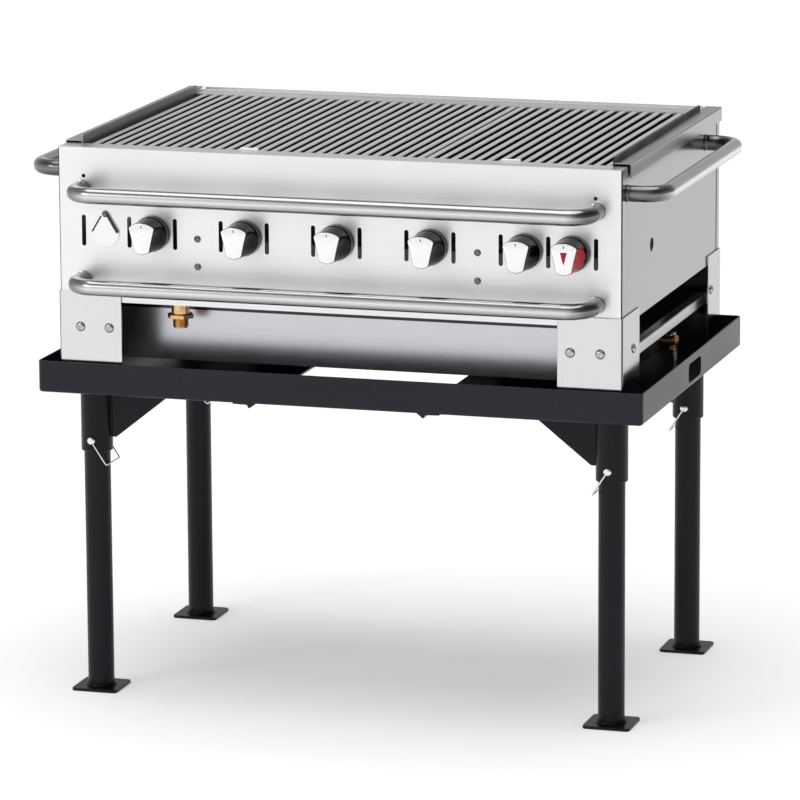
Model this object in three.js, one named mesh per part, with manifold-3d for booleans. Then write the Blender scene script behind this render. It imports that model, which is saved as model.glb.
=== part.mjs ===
// A 36-inch gas charbroiler on a four-legged stand, in millimetres.
// X runs to the right, Y to the back and Z up. The geometry is drawn with X = 0 at the middle,
// Y = 0 halfway between the front and back legs and Z = 0 on the floor. The exported group then
// moves by ORIGIN_SHIFT_Y, so that the origin is the middle of the whole object's footprint.
import * as THREE from "three";
import { mergeVertices } from "three/addons/utils/BufferGeometryUtils.js";
import Module from "manifold-3d";

const wasm = await Module();
wasm.setup();

// ---- Driving dimensions -------------------------------------------------------------------

const GAP = 0.3; // clearance between pieces that touch

// Body casing: outer faces
const BODY_HALF_WIDTH = 457.2;
const FRONT_Y = -313;
const BACK_Y = 322.3;
const TOP_Z = 892.5;
const PANEL_BOTTOM_Z = 647.2;
const SHEET = 1.5;
const FRONT_RETURN_DEPTH = 31;
const BACK_RETURN_DEPTH = 22;
const BOTTOM_FLANGE_DEPTH = 20;

// Cooking opening, its support lips and the two grates in it
const OPENING_FRONT_Y = -273.5;
const OPENING_BACK_Y = 270;
const SUPPORT_Z = 874;
const SUPPORT_DEPTH = 12;
const SUPPORT_HALF_WIDTH = 430.6;
const GRATES = {
  grate_left: { firstBarX: -413.8, pitch: 18.48, barCount: 30, tabBar: 14 },
  grate_right: { firstBarX: 136.9, pitch: 19.08, barCount: 16, tabBar: 7 },
};
const GRATE_END_CLEARANCE = 0.7;
const GRATE_TOP_Z = 891.6;
const GRATE_BAR_WIDTH = 10.5;
const GRATE_BAR_BOTTOM_Z = 877.5;
const GRATE_CROSS_DEPTH = 8;
const GRATE_CROSS_OVERLAP = 2;
const GRATE_CROSS_YS = [-266.5, -1.75, 262];
const GRATE_TAB_DEPTH = 6;
const GRATE_TAB_SLOT_DEPTH = 14;

// Side panels
const PANEL_JOINT_GAP = 0.8;
const SIDE_FLANGE_INNER_X = 438;
const HANG_HOLE = { y: -126, z: 746, radius: 11.2 };

// Side rails beside the grates
const RAIL_TOP_Z = 897;
const RAIL_SHEET = 2;
const RAIL_OUTER_X = 461.2;
const RAIL_DROP = 23;
const RAIL_FRONT_Y = -270;
const RAIL_GUARD_X = [432, 435];
const RAIL_GUARD_TOP_Z = 905;
const RAIL_GUARD_BOTTOM_Z = 884;
const RAIL_GUARD_BACK_Y = 281;

// Rear ledge hem
const HEM_HALF_WIDTH = 430;
const HEM_DEPTH = 4.3;
const HEM_HEIGHT = 4;

// Front panel cut-outs
const SLOT_COUNT = 12;
const SLOT_PITCH = 75.77;
const SLOT_Z = 760.4;
const SLOT_LENGTH = 49.4;
const SLOT_WIDTH = 5.5;
const STEM_HOLE_RADIUS = 8;
const MATCH_HOLE_RADIUS = 17;
const SMALL_HOLE = { x: 416, z: 847.4, radius: 3.2 };

// Control knobs, their stems and valves
const KNOB_Z = 760.4;
const KNOB_PITCH = 151.5;
const BURNER_KNOB_COUNT = 5;
const MAIN_KNOB_X = 379;
const KNOB_BACK_Y = FRONT_Y - 4.5;
const KNOB_SKIRT_RADIUS = 28;
const KNOB_SKIRT_FRONT_Y = FRONT_Y - 17;
const KNOB_FACE_Y = FRONT_Y - 52;
const KNOB_BORE_RADIUS = 4.6;
const STEM_RADIUS = 4.2;
const STEM_FRONT_Y = FRONT_Y - 32;
const STEM_BACK_Y = -297;
const VALVE_RADIUS = 12;
const VALVE_FRONT_Y = -303;
const VALVE_BORE_RADIUS = 5.2;
const VALVE_BORE_BACK_Y = -292;
const MANIFOLD_Y = -272;
const MANIFOLD_RADIUS = 13.35;
const MANIFOLD_ENDS_X = [-330, 410];
const ORIFICE_RADIUS = 6;
const ORIFICE_BACK_Y = -229;

// Grip outline of a knob in front of its round skirt, as (across, up) from the stem
const KNOB_GRIP = [
  [-21.3, 17.5],
  [-12, 24.5],
  [0, 28],
  [12, 24.5],
  [21.3, 17.5],
  [11.5, -22.5],
  [6, -25],
  [-6, -25],
  [-11.5, -22.5],
];

// Gas inlet below the manifold
const INLET_X = -272;
const INLET_PIPE_BOTTOM_Z = 630;
const INLET_NECK_RADIUS = 11;
const INLET_NUT_Z = [617, 623];
const INLET_NUT_ACROSS = 38;
const INLET_NIPPLE_RADIUS = 11.8;
const INLET_BORE_RADIUS = 8;
const INLET_BOTTOM_Z = 604.5;

// Match-light flap
const FLAP_X = -380.5;
const FLAP_PIVOT_Z = 788;
const FLAP_DISC_Z = 758.5;
const FLAP_DISC_RADIUS = 23;
const FLAP_PIVOT_RADIUS = 5.5;
const FLAP_BACK_Y = FRONT_Y - 0.4;
const FLAP_FRONT_Y = FRONT_Y - 4;

// Handles
const TUBE_RADIUS = 12.7;
const HANDLE_BEND = 38;
const FRONT_HANDLE_HALF_WIDTH = 418.5;
const FRONT_HANDLE_REACH = 66;
const FRONT_HANDLE_ZS = { front_handle_upper: 827.5, front_handle_lower: 682 };
const SIDE_HANDLE_YS = [-277, 232];
const SIDE_HANDLE_REACH = 54.8;
const SIDE_HANDLE_Z = 851.5;

// Corner brackets that carry the body
const BRACKET_SHEET = 2.4;
const BRACKET_TOP_Z = 662.6;
const BRACKET_WIDTH = 104.3;
const BRACKET_FRONT_SIDE_DEPTH = 104;
const BRACKET_BACK_SIDE_DEPTH = 86;

// Inside: baffle, burners, radiants, tub
const BAFFLE_Y = -220;
const BAFFLE_HALF_WIDTH = 455;
const BAFFLE_BOTTOM_Z = 541;
const BAFFLE_TOP_Z = 870;
const BURNER_Z = 760.4;
const BURNER_RADIUS = 19;
const BURNER_NECK_RADIUS = 13;
const BURNER_WALL = 2;
const BURNER_FRONT_Y = -226;
const BURNER_BACK_Y = 266;
const BURNER_NECK_LENGTH = 30;
const BURNER_SHOULDER_LENGTH = 18;
const RADIANT_TOP_Z = 846;
const RADIANT_HALF_WIDTH = 56;
const RADIANT_HEIGHT = 32;
const RADIANT_SHEET = 2;
const RADIANT_STRIP_OVERHANG = 60;
const RADIANT_YS = [-214, 262];
const RADIANT_STRIP_DEPTH = 14;
const TUB_HALF_WIDTH = 430;
const TUB_YS = [-212, 292];
const TUB_BOTTOM_Z = 545;
const TUB_RIM_Z = 592.8;
const TUB_RIM_HALF_WIDTH = 442.6;
const RUNNER_X = [441, 443];
const RUNNER_ZS = [575, 591];
const RUNNER_YS = [-217, 300];

// Drain valve on the tub's right wall
const DRAIN_Y = 67;
const DRAIN_Z = 556;
const DRAIN_OUTER_X = 453;
const DRAIN_RADIUS = 9;
const DRAIN_SPOUT_X = 445;
const DRAIN_SPOUT_DROP = 18;
const DRAIN_SPOUT_RADIUS = 6;
const DRAIN_SPOUT_BORE = 4;
const DRAIN_HOLE_RADIUS = 5;
const LEVER_LENGTH = 24;
const LEVER_HALF_WIDTH = 3;
const LEVER_BOSS_RADIUS = 4.5;
const LEVER_BOSS_HEIGHT = 4;
const LEVER_THICKNESS = 2;

// Stand tray
const TRAY_HALF_WIDTH = 494.2;
const TRAY_YS = [-327.5, 330.2];
const TRAY_ZS = [498.6, 549.45];
const TRAY_WALL = 2.5;
const TRAY_CORNER = 8;
const DECK_CUTOUT_HALF = [131.5, 165];
const GRIP_HOLE_Y = 11;
const GRIP_HOLE_Z = 522;
const GRIP_HOLE_SIZE = [82, 30.5];
const GRIP_HOLE_CORNER = 9;
const STIFFENER_SECTION = [[132, 499], [143, 490], [146, 496.5], [168, 497], [171, 499]];
const STIFFENER_END_GAP = 3;

// Legs and their sockets
const LEG_X = 425.5;
const LEG_Y = 246.6;
const LEG_RADIUS = 21.1;
const LEG_WALL = 3;
const LEG_TOP_Z = 488;
const FOOT_SIZE = 76.5;
const FOOT_THICKNESS = 4.8;
const FOOT_CORNER = 7;
const SOCKET_RADIUS = 25.4;
const SOCKET_BORE = 21.7;
const SOCKET_BOTTOM_Z = 393;
const GUSSET_THICKNESS = 5;
const GUSSET_REACH = 138.4;
const GUSSET_BOTTOM_Z = 415;
const GUSSET_FLAT = 33.4;
const GUSSET_ROOT_OVERLAP = 1.5;

// Lock pins and wire bails
const PIN_Z = 412;
const PIN_RADIUS = 4;
const PIN_HOLE_RADIUS = 4.5;
const PIN_HEAD_RADIUS = 6.5;
const PIN_HEAD_THICKNESS = 6;
const PIN_TAIL = 32;
const PIN_CHAMFER = 1;
const WIRE_RADIUS = 1.3;
const BAIL_DROP = 46;
const BAIL_SLOPE = 57;
const BAIL_BEND = 4;
const BAIL_CLEARANCE = 0.6;
const BAIL_END_RISE = 3;

// The middle of the footprint lies between the front handles' faces and the tray's back edge.
const ORIGIN_SHIFT_Y = -(FRONT_Y - FRONT_HANDLE_REACH - TUBE_RADIUS + TRAY_YS[1]) / 2;

// ---- Materials ----------------------------------------------------------------------------

const metal = (color, roughness, metalness = 1) =>
  new THREE.MeshStandardMaterial({ color, roughness, metalness });
const stainless = metal(0xd4d4d6, 0.35);
const stainlessTube = metal(0xb9b7b5, 0.28);
const grateSteel = metal(0xb4b4b6, 0.4);
const powderCoat = metal(0x34353b, 0.65, 0.2);
const bakelite = metal(0x18181a, 0.3, 0);
const redPlastic = metal(0xb3161c, 0.3, 0);
const zincPlate = metal(0xc9c9cc, 0.3);
const brass = metal(0xb9853f, 0.35);
const blackIron = metal(0x2b2b2d, 0.6, 0.7);

// ---- Solids -------------------------------------------------------------------------------

const FULL_TURN = Math.PI * 2;
const ROUND = 16; // sides of an ordinary cylinder

// A closed three.js geometry as a solid that can be joined and cut.
function toSolid(geometry) {
  const bare = geometry.clone();
  bare.deleteAttribute("normal");
  bare.deleteAttribute("uv");
  const merged = mergeVertices(bare, 1e-4);
  return new wasm.Manifold(
    new wasm.Mesh({
      numProp: 3,
      vertProperties: merged.attributes.position.array,
      triVerts: new Uint32Array(merged.index.array),
    }),
  );
}

// A solid back as a three.js geometry.
function toGeometry(solid) {
  const { vertProperties, triVerts } = solid.getMesh();
  const geometry = new THREE.BufferGeometry();
  geometry.setAttribute("position", new THREE.BufferAttribute(vertProperties, 3));
  geometry.setIndex(new THREE.BufferAttribute(triVerts, 1));
  geometry.computeVertexNormals();
  return geometry;
}

const joinAll = (solids) => solids.reduce((whole, next) => whole.add(next));
const cutAll = (solid, cutters) => cutters.reduce((left, cutter) => left.subtract(cutter), solid);

// A box from its low and high limits along X, Y and Z.
function block([x0, x1], [y0, y1], [z0, z1]) {
  const geometry = new THREE.BoxGeometry(x1 - x0, y1 - y0, z1 - z0);
  geometry.translate((x0 + x1) / 2, (y0 + y1) / 2, (z0 + z1) / 2);
  return toSolid(geometry);
}

// An outline in X and Z (or in X and Y) pulled along the third axis.
function prismY(shape, y0, y1, curveSegments = 6) {
  const geometry = new THREE.ExtrudeGeometry(shape, {
    depth: y1 - y0,
    bevelEnabled: false,
    curveSegments,
  });
  geometry.rotateX(Math.PI / 2);
  geometry.translate(0, y1, 0);
  return toSolid(geometry);
}

function prismZ(shape, z0, z1, curveSegments = 4) {
  const geometry = new THREE.ExtrudeGeometry(shape, {
    depth: z1 - z0,
    bevelEnabled: false,
    curveSegments,
  });
  geometry.translate(0, 0, z0);
  return toSolid(geometry);
}

// A solid of revolution about a vertical line, from closed (radius, height) points.
function turnedZ(points, x, y, sides = ROUND) {
  const profile = points.map(([radius, height]) => new THREE.Vector2(radius, height));
  const geometry = new THREE.LatheGeometry(profile, sides);
  geometry.rotateX(Math.PI / 2);
  geometry.translate(x, y, 0);
  return toSolid(geometry);
}

// The same about a line along Y, with points as (radius, y).
function turnedY(points, x, z, sides = ROUND) {
  const profile = points.map(([radius, along]) => new THREE.Vector2(radius, along));
  const geometry = new THREE.LatheGeometry(profile, sides);
  geometry.translate(x, 0, z);
  return toSolid(geometry);
}

const rodProfile = (radius, low, high) => [[0, low], [radius, low], [radius, high], [0, high]];
const rodY = (x, z, radius, y0, y1, sides) => turnedY(rodProfile(radius, y0, y1), x, z, sides);
const rodZ = (x, y, radius, z0, z1, sides) => turnedZ(rodProfile(radius, z0, z1), x, y, sides);

function rodX(y, z, radius, x0, x1, sides = ROUND) {
  const geometry = new THREE.CylinderGeometry(radius, radius, x1 - x0, sides);
  geometry.rotateZ(Math.PI / 2);
  geometry.translate((x0 + x1) / 2, y, z);
  return toSolid(geometry);
}

// A centred rectangle with round corners.
function roundedRectangle(width, height, corner, cx = 0, cy = 0) {
  const [x, y] = [width / 2 - corner, height / 2 - corner];
  const shape = new THREE.Shape();
  shape.absarc(cx + x, cy + y, corner, 0, Math.PI / 2);
  shape.absarc(cx - x, cy + y, corner, Math.PI / 2, Math.PI);
  shape.absarc(cx - x, cy - y, corner, Math.PI, 1.5 * Math.PI);
  shape.absarc(cx + x, cy - y, corner, 1.5 * Math.PI, FULL_TURN);
  shape.closePath();
  return shape;
}

const polygon = (points) => new THREE.Shape(points.map(([u, v]) => new THREE.Vector2(u, v)));

// A path through given stations, with one swept section at each of them.
class StationPath extends THREE.Curve {
  constructor(stations) {
    super();
    this.stations = stations;
  }
  getPoint(t, target = new THREE.Vector3()) {
    const place = t * (this.stations.length - 1);
    const index = THREE.MathUtils.clamp(Math.floor(place), 0, this.stations.length - 2);
    return target.lerpVectors(this.stations[index], this.stations[index + 1], place - index);
  }
  getUtoTmapping(u) {
    return u;
  }
}

// The stations of a bent bar: straight runs between corners, and an arc of several chords at each.
function bentStations(corners, bend, chords) {
  const stations = [corners[0]];
  for (let i = 1; i < corners.length - 1; i++) {
    const toBefore = corners[i - 1].clone().sub(corners[i]).normalize();
    const toAfter = corners[i + 1].clone().sub(corners[i]).normalize();
    const halfAngle = toBefore.angleTo(toAfter) / 2;
    const middle = toBefore.clone().add(toAfter).normalize();
    const centre = corners[i].clone().addScaledVector(middle, bend / Math.sin(halfAngle));
    const start = corners[i].clone().addScaledVector(toBefore, bend / Math.tan(halfAngle));
    const turn = Math.PI - 2 * halfAngle;
    const axis = toBefore.clone().negate().cross(toAfter).normalize();
    for (let k = 0; k <= chords; k++) {
      const spoke = start.clone().sub(centre).applyAxisAngle(axis, (turn * k) / chords);
      stations.push(centre.clone().add(spoke));
    }
  }
  stations.push(corners[corners.length - 1]);
  return stations;
}

function bentBar(corners, bend, radius, sides, chords = 5) {
  const stations = bentStations(corners.map((c) => new THREE.Vector3(...c)), bend, chords);
  const section = new THREE.Shape().absarc(0, 0, radius, 0, FULL_TURN);
  const geometry = new THREE.ExtrudeGeometry(section, {
    extrudePath: new StationPath(stations),
    steps: stations.length - 1,
    curveSegments: sides / 2,
  });
  return toSolid(geometry);
}

const mirroredX = (solid) => solid.mirror([1, 0, 0]);

// ---- The group ----------------------------------------------------------------------------

const charbroiler = new THREE.Group();
charbroiler.position.y = ORIGIN_SHIFT_Y;

function addPart(name, solid, material) {
  const mesh = new THREE.Mesh(toGeometry(solid), material);
  mesh.name = name;
  charbroiler.add(mesh);
}

function addMirroredPair(name, rightSolid, material) {
  addPart(`${name}_right`, rightSolid, material);
  addPart(`${name}_left`, mirroredX(rightSolid), material);
}

// The four corners of the stand, with the sign of each along X and Y.
const CORNERS = [
  { name: "front_left", sx: -1, sy: -1 },
  { name: "front_right", sx: 1, sy: -1 },
  { name: "back_left", sx: -1, sy: 1 },
  { name: "back_right", sx: 1, sy: 1 },
];

const knobXs = Array.from({ length: BURNER_KNOB_COUNT }, (_, i) => (i - 2) * KNOB_PITCH);
const valveXs = [...knobXs, MAIN_KNOB_X];

// ---- Stand --------------------------------------------------------------------------------

// Shallow tray with a turned-up lip, a window in its deck, grip holes and two deck stiffeners.
function standTray() {
  const width = 2 * TRAY_HALF_WIDTH;
  const depth = TRAY_YS[1] - TRAY_YS[0];
  const middleY = (TRAY_YS[0] + TRAY_YS[1]) / 2;
  const outer = roundedRectangle(width, depth, TRAY_CORNER, 0, middleY);
  const inside = TRAY_CORNER - TRAY_WALL;
  const inner = roundedRectangle(width - 2 * TRAY_WALL, depth - 2 * TRAY_WALL, inside, 0, middleY);
  const deckTop = TRAY_ZS[0] + TRAY_WALL;
  const [windowX, windowY] = DECK_CUTOUT_HALF;
  const window = roundedRectangle(2 * windowX, 2 * windowY, TRAY_CORNER);
  const grip = roundedRectangle(...GRIP_HOLE_SIZE, GRIP_HOLE_CORNER, GRIP_HOLE_Y, GRIP_HOLE_Z);
  const gripHole = new THREE.ExtrudeGeometry(grip, {
    depth: 2 * width,
    bevelEnabled: false,
    curveSegments: 4,
  });
  // The outline's own axes are (Y, Z), and it is pulled along X.
  gripHole.applyMatrix4(new THREE.Matrix4().set(0, 0, 1, -width, 1, 0, 0, 0, 0, 1, 0, 0, 0, 0, 0, 1));
  const tray = cutAll(prismZ(outer, ...TRAY_ZS), [
    prismZ(inner, deckTop, TRAY_ZS[1] + 1),
    prismZ(window, TRAY_ZS[0] - 1, deckTop + 1),
    toSolid(gripHole),
  ]);
  const stiffener = prismY(
    polygon(STIFFENER_SECTION),
    TRAY_YS[0] + STIFFENER_END_GAP,
    TRAY_YS[1] - STIFFENER_END_GAP,
  );
  return joinAll([tray, stiffener, mirroredX(stiffener)]);
}

// Round socket under the deck with a triangular gusset that points to the stand's middle.
function legSocket(sx, sy) {
  const [x, y] = [sx * LEG_X, sy * LEG_Y];
  const top = TRAY_ZS[0] - GAP;
  const wall = [[SOCKET_BORE, SOCKET_BOTTOM_Z], [SOCKET_RADIUS, SOCKET_BOTTOM_Z]];
  const ring = turnedZ([...wall, [SOCKET_RADIUS, top], [SOCKET_BORE, top], wall[0]], x, y, 20);
  const inward = (distance) => x - sx * distance;
  const root = SOCKET_BORE + GUSSET_ROOT_OVERLAP;
  const corners = [
    [inward(root), top],
    [inward(GUSSET_REACH), top],
    [inward(GUSSET_FLAT), GUSSET_BOTTOM_Z],
    [inward(root), GUSSET_BOTTOM_Z],
  ];
  const halfThickness = GUSSET_THICKNESS / 2;
  const gusset = prismY(polygon(corners), y - halfThickness, y + halfThickness);
  const pinHole = rodY(x, PIN_Z, PIN_HOLE_RADIUS, y - FOOT_SIZE, y + FOOT_SIZE, 8);
  return ring.add(gusset).subtract(pinHole);
}

// Round tube welded to a square foot plate.
function leg(sx, sy) {
  const [x, y] = [sx * LEG_X, sy * LEG_Y];
  const bore = LEG_RADIUS - LEG_WALL;
  const bottom = FOOT_THICKNESS - 1;
  const wall = [[bore, bottom], [LEG_RADIUS, bottom]];
  const tube = turnedZ([...wall, [LEG_RADIUS, LEG_TOP_Z], [bore, LEG_TOP_Z], wall[0]], x, y, 18);
  const foot = prismZ(roundedRectangle(FOOT_SIZE, FOOT_SIZE, FOOT_CORNER, x, y), 0, FOOT_THICKNESS);
  const pinHole = rodY(x, PIN_Z, PIN_HOLE_RADIUS, y - FOOT_SIZE, y + FOOT_SIZE, 8);
  return tube.add(foot).subtract(pinHole);
}

// Lock pin through socket and leg, with its head at the front.
function lockPin(sx, sy) {
  const [x, y] = [sx * LEG_X, sy * LEG_Y];
  const headBack = y - SOCKET_RADIUS - GAP;
  const headFront = headBack - PIN_HEAD_THICKNESS;
  return turnedY(
    [
      [0, headFront],
      [PIN_HEAD_RADIUS - PIN_CHAMFER, headFront],
      [PIN_HEAD_RADIUS, headFront + PIN_CHAMFER],
      [PIN_HEAD_RADIUS, headBack],
      [PIN_RADIUS, headBack],
      [PIN_RADIUS, y + PIN_TAIL],
      [0, y + PIN_TAIL],
    ],
    x,
    PIN_Z,
    14,
  );
}

// Wire bail: from the pin's head down and inwards, back past the leg, and up behind the pin's tail.
function wireBail(sx, sy) {
  const [x, y] = [sx * LEG_X, sy * LEG_Y];
  const slope = THREE.MathUtils.degToRad(BAIL_SLOPE);
  const down = (distance, alongY) => [
    x - sx * distance * Math.cos(slope),
    alongY,
    PIN_Z - distance * Math.sin(slope),
  ];
  const frontY = y - SOCKET_RADIUS - GAP - PIN_HEAD_THICKNESS / 2;
  const backY = y + PIN_TAIL + WIRE_RADIUS + BAIL_CLEARANCE;
  const frontEnd = down(PIN_HEAD_RADIUS + BAIL_CLEARANCE, frontY);
  const backEnd = down(-BAIL_END_RISE, backY);
  const corners = [frontEnd, down(BAIL_DROP, frontY), down(BAIL_DROP, backY), backEnd];
  return bentBar(corners, BAIL_BEND, WIRE_RADIUS, 6, 2);
}

// ---- Body casing --------------------------------------------------------------------------

// One sheet: face, top ledge with its lip and grate support, bottom flange and side returns.
function casingFace(faceY, inwards, lipY, returnDepth) {
  const span = (from, distance) => [from, from + inwards * distance].sort((a, b) => a - b);
  const fullWidth = [-BODY_HALF_WIDTH, BODY_HALF_WIDTH];
  const lipWidth = [-SUPPORT_HALF_WIDTH, SUPPORT_HALF_WIDTH];
  const face = block(fullWidth, span(faceY, SHEET), [PANEL_BOTTOM_Z, TOP_Z]);
  const ledge = block(fullWidth, span(faceY, Math.abs(lipY - faceY)), [TOP_Z - SHEET, TOP_Z]);
  const lip = block(lipWidth, span(lipY, -SHEET), [SUPPORT_Z, TOP_Z]);
  const support = block(lipWidth, span(lipY - inwards * SHEET, SUPPORT_DEPTH + SHEET), [
    SUPPORT_Z,
    SUPPORT_Z + SHEET,
  ]);
  const bottom = block(fullWidth, span(faceY, BOTTOM_FLANGE_DEPTH), [
    PANEL_BOTTOM_Z,
    PANEL_BOTTOM_Z + SHEET,
  ]);
  const rightReturn = block([BODY_HALF_WIDTH - SHEET, BODY_HALF_WIDTH], span(faceY, returnDepth), [
    PANEL_BOTTOM_Z,
    TOP_Z,
  ]);
  return joinAll([face, ledge, lip, support, bottom, rightReturn, mirroredX(rightReturn)]);
}

// An upright slot with round ends, as an outline in X and Z.
function slotOutline(x) {
  return roundedRectangle(SLOT_WIDTH, SLOT_LENGTH, SLOT_WIDTH / 2, x, SLOT_Z);
}

function frontPanel() {
  const cutFrom = FRONT_Y - 1;
  const cutTo = FRONT_Y + SHEET + 1;
  const slots = Array.from({ length: SLOT_COUNT }, (_, i) =>
    prismY(slotOutline((i - (SLOT_COUNT - 1) / 2) * SLOT_PITCH), cutFrom, cutTo, 2),
  );
  const stemHoles = valveXs.map((x) => rodY(x, KNOB_Z, STEM_HOLE_RADIUS, cutFrom, cutTo, 12));
  const matchHole = rodY(FLAP_X, FLAP_DISC_Z, MATCH_HOLE_RADIUS, cutFrom, cutTo, 14);
  const smallHoles = [-1, 1].map((side) =>
    rodY(side * SMALL_HOLE.x, SMALL_HOLE.z, SMALL_HOLE.radius, cutFrom, cutTo, 8),
  );
  const blank = casingFace(FRONT_Y, 1, OPENING_FRONT_Y, FRONT_RETURN_DEPTH);
  return cutAll(blank, [...slots, ...stemHoles, matchHole, ...smallHoles]);
}

function backPanel() {
  const hem = block([-HEM_HALF_WIDTH, HEM_HALF_WIDTH], [BACK_Y - HEM_DEPTH, BACK_Y], [
    TOP_Z - SHEET,
    TOP_Z + HEM_HEIGHT,
  ]);
  return casingFace(BACK_Y, -1, OPENING_BACK_Y, BACK_RETURN_DEPTH).add(hem);
}

// Side panel between the front and back panels' returns, with an inward top flange.
function sidePanel() {
  const frontEdge = FRONT_Y + FRONT_RETURN_DEPTH + PANEL_JOINT_GAP;
  const backEdge = BACK_Y - BACK_RETURN_DEPTH - PANEL_JOINT_GAP;
  const thickness = [BODY_HALF_WIDTH - SHEET, BODY_HALF_WIDTH];
  const face = block(thickness, [frontEdge, backEdge], [PANEL_BOTTOM_Z, TOP_Z - SHEET - GAP]);
  const flangeYs = [OPENING_FRONT_Y + GAP, OPENING_BACK_Y - GAP];
  const neck = block(thickness, flangeYs, [TOP_Z - 4 * SHEET, TOP_Z]);
  const flange = block([SIDE_FLANGE_INNER_X, BODY_HALF_WIDTH], flangeYs, [TOP_Z - SHEET, TOP_Z]);
  const { y, z, radius } = HANG_HOLE;
  const hangHole = rodX(y, z, radius, BODY_HALF_WIDTH - 2 * SHEET, BODY_HALF_WIDTH + SHEET);
  return joinAll([face, neck, flange]).subtract(hangHole);
}

// Folded rail over the side panel: outer drop, flat flange and the upstand beside the grates.
function sideRail() {
  const ys = [RAIL_FRONT_Y, BACK_Y];
  const [guardInner, guardOuter] = RAIL_GUARD_X;
  const flange = block([guardInner, RAIL_OUTER_X], ys, [RAIL_TOP_Z - RAIL_SHEET, RAIL_TOP_Z]);
  const drop = block([RAIL_OUTER_X - RAIL_SHEET, RAIL_OUTER_X], ys, [
    RAIL_TOP_Z - RAIL_DROP,
    RAIL_TOP_Z,
  ]);
  const upstand = block(RAIL_GUARD_X, [RAIL_FRONT_Y, RAIL_GUARD_BACK_Y], [
    RAIL_TOP_Z - RAIL_SHEET,
    RAIL_GUARD_TOP_Z,
  ]);
  const skirt = block([guardInner, guardOuter], [RAIL_FRONT_Y, OPENING_BACK_Y - PANEL_JOINT_GAP], [
    RAIL_GUARD_BOTTOM_Z,
    RAIL_TOP_Z,
  ]);
  return joinAll([flange, drop, upstand, skirt]);
}

// Angle bracket that stands on the deck and wraps one lower corner of the body.
function cornerBracket(sx, sy) {
  const outerX = BODY_HALF_WIDTH + GAP + BRACKET_SHEET;
  const outerY = sy < 0 ? FRONT_Y - GAP - BRACKET_SHEET : BACK_Y + GAP + BRACKET_SHEET;
  const sideDepth = sy < 0 ? BRACKET_FRONT_SIDE_DEPTH : BRACKET_BACK_SIDE_DEPTH;
  const inwards = (distance) => [outerY, outerY - sy * distance].sort((a, b) => a - b);
  const zs = [TRAY_ZS[0] + TRAY_WALL + GAP, BRACKET_TOP_Z];
  const facing = block([outerX - BRACKET_WIDTH, outerX], inwards(BRACKET_SHEET), zs);
  const side = block([outerX - BRACKET_SHEET, outerX], inwards(sideDepth), zs);
  const bracket = facing.add(side);
  return sx > 0 ? bracket : mirroredX(bracket);
}

// ---- Handles ------------------------------------------------------------------------------

function frontHandle(z) {
  const x = FRONT_HANDLE_HALF_WIDTH;
  const [near, far] = [FRONT_Y - GAP, FRONT_Y - FRONT_HANDLE_REACH];
  const corners = [[-x, near, z], [-x, far, z], [x, far, z], [x, near, z]];
  return bentBar(corners, HANDLE_BEND, TUBE_RADIUS, 12);
}

function sideHandle() {
  const [near, far] = [BODY_HALF_WIDTH + GAP, BODY_HALF_WIDTH + SIDE_HANDLE_REACH];
  const [y0, y1] = SIDE_HANDLE_YS;
  const z = SIDE_HANDLE_Z;
  const corners = [[near, y0, z], [far, y0, z], [far, y1, z], [near, y1, z]];
  return bentBar(corners, HANDLE_BEND, TUBE_RADIUS, 12);
}

// ---- Cooking grates -----------------------------------------------------------------------

// One grate: bars from front to back, joined by cross bars below. One bar is cut back at the
// front, and a lifting tab bridges its two neighbours there.
function grate({ firstBarX, pitch, barCount, tabBar }) {
  const halfBar = GRATE_BAR_WIDTH / 2;
  const barXs = Array.from({ length: barCount }, (_, i) => firstBarX + i * pitch);
  const frontY = OPENING_FRONT_Y + GRATE_END_CLEARANCE;
  const backY = OPENING_BACK_Y - GRATE_END_CLEARANCE;
  const barZs = [GRATE_BAR_BOTTOM_Z, GRATE_TOP_Z];
  const bars = barXs.map((x, i) => {
    const startY = i === tabBar ? frontY + GRATE_TAB_SLOT_DEPTH : frontY;
    return block([x - halfBar, x + halfBar], [startY, backY], barZs);
  });
  const crossXs = [barXs[0], barXs[barCount - 1]];
  const crossZs = [SUPPORT_Z + SHEET + GAP, GRATE_BAR_BOTTOM_Z + GRATE_CROSS_OVERLAP];
  const crossBars = GRATE_CROSS_YS.map((y) =>
    block(crossXs, [y - GRATE_CROSS_DEPTH / 2, y + GRATE_CROSS_DEPTH / 2], crossZs),
  );
  const tabXs = [barXs[tabBar - 1], barXs[tabBar + 1]];
  const tabStart = frontY + 1;
  const tab = block(tabXs, [tabStart, tabStart + GRATE_TAB_DEPTH], [
    GRATE_TOP_Z - GRATE_TAB_DEPTH,
    GRATE_TOP_Z + 1,
  ]);
  return joinAll([...bars, ...crossBars, tab]);
}

// ---- Gas train ----------------------------------------------------------------------------

// Manifold pipe with its valve bodies, orifice outlets and the drop to the inlet.
function gasManifold() {
  const pipe = rodX(MANIFOLD_Y, KNOB_Z, MANIFOLD_RADIUS, ...MANIFOLD_ENDS_X, 12);
  const valves = valveXs.map((x) => rodY(x, KNOB_Z, VALVE_RADIUS, VALVE_FRONT_Y, MANIFOLD_Y, 10));
  const orifices = knobXs.map((x) => rodY(x, KNOB_Z, ORIFICE_RADIUS, MANIFOLD_Y, ORIFICE_BACK_Y, 8));
  const drop = rodZ(INLET_X, MANIFOLD_Y, MANIFOLD_RADIUS, INLET_PIPE_BOTTOM_Z, KNOB_Z, 12);
  const bores = valveXs.map((x) =>
    rodY(x, KNOB_Z, VALVE_BORE_RADIUS, VALVE_FRONT_Y - 1, VALVE_BORE_BACK_Y, 8),
  );
  return cutAll(joinAll([pipe, ...valves, ...orifices, drop]), bores);
}

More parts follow.
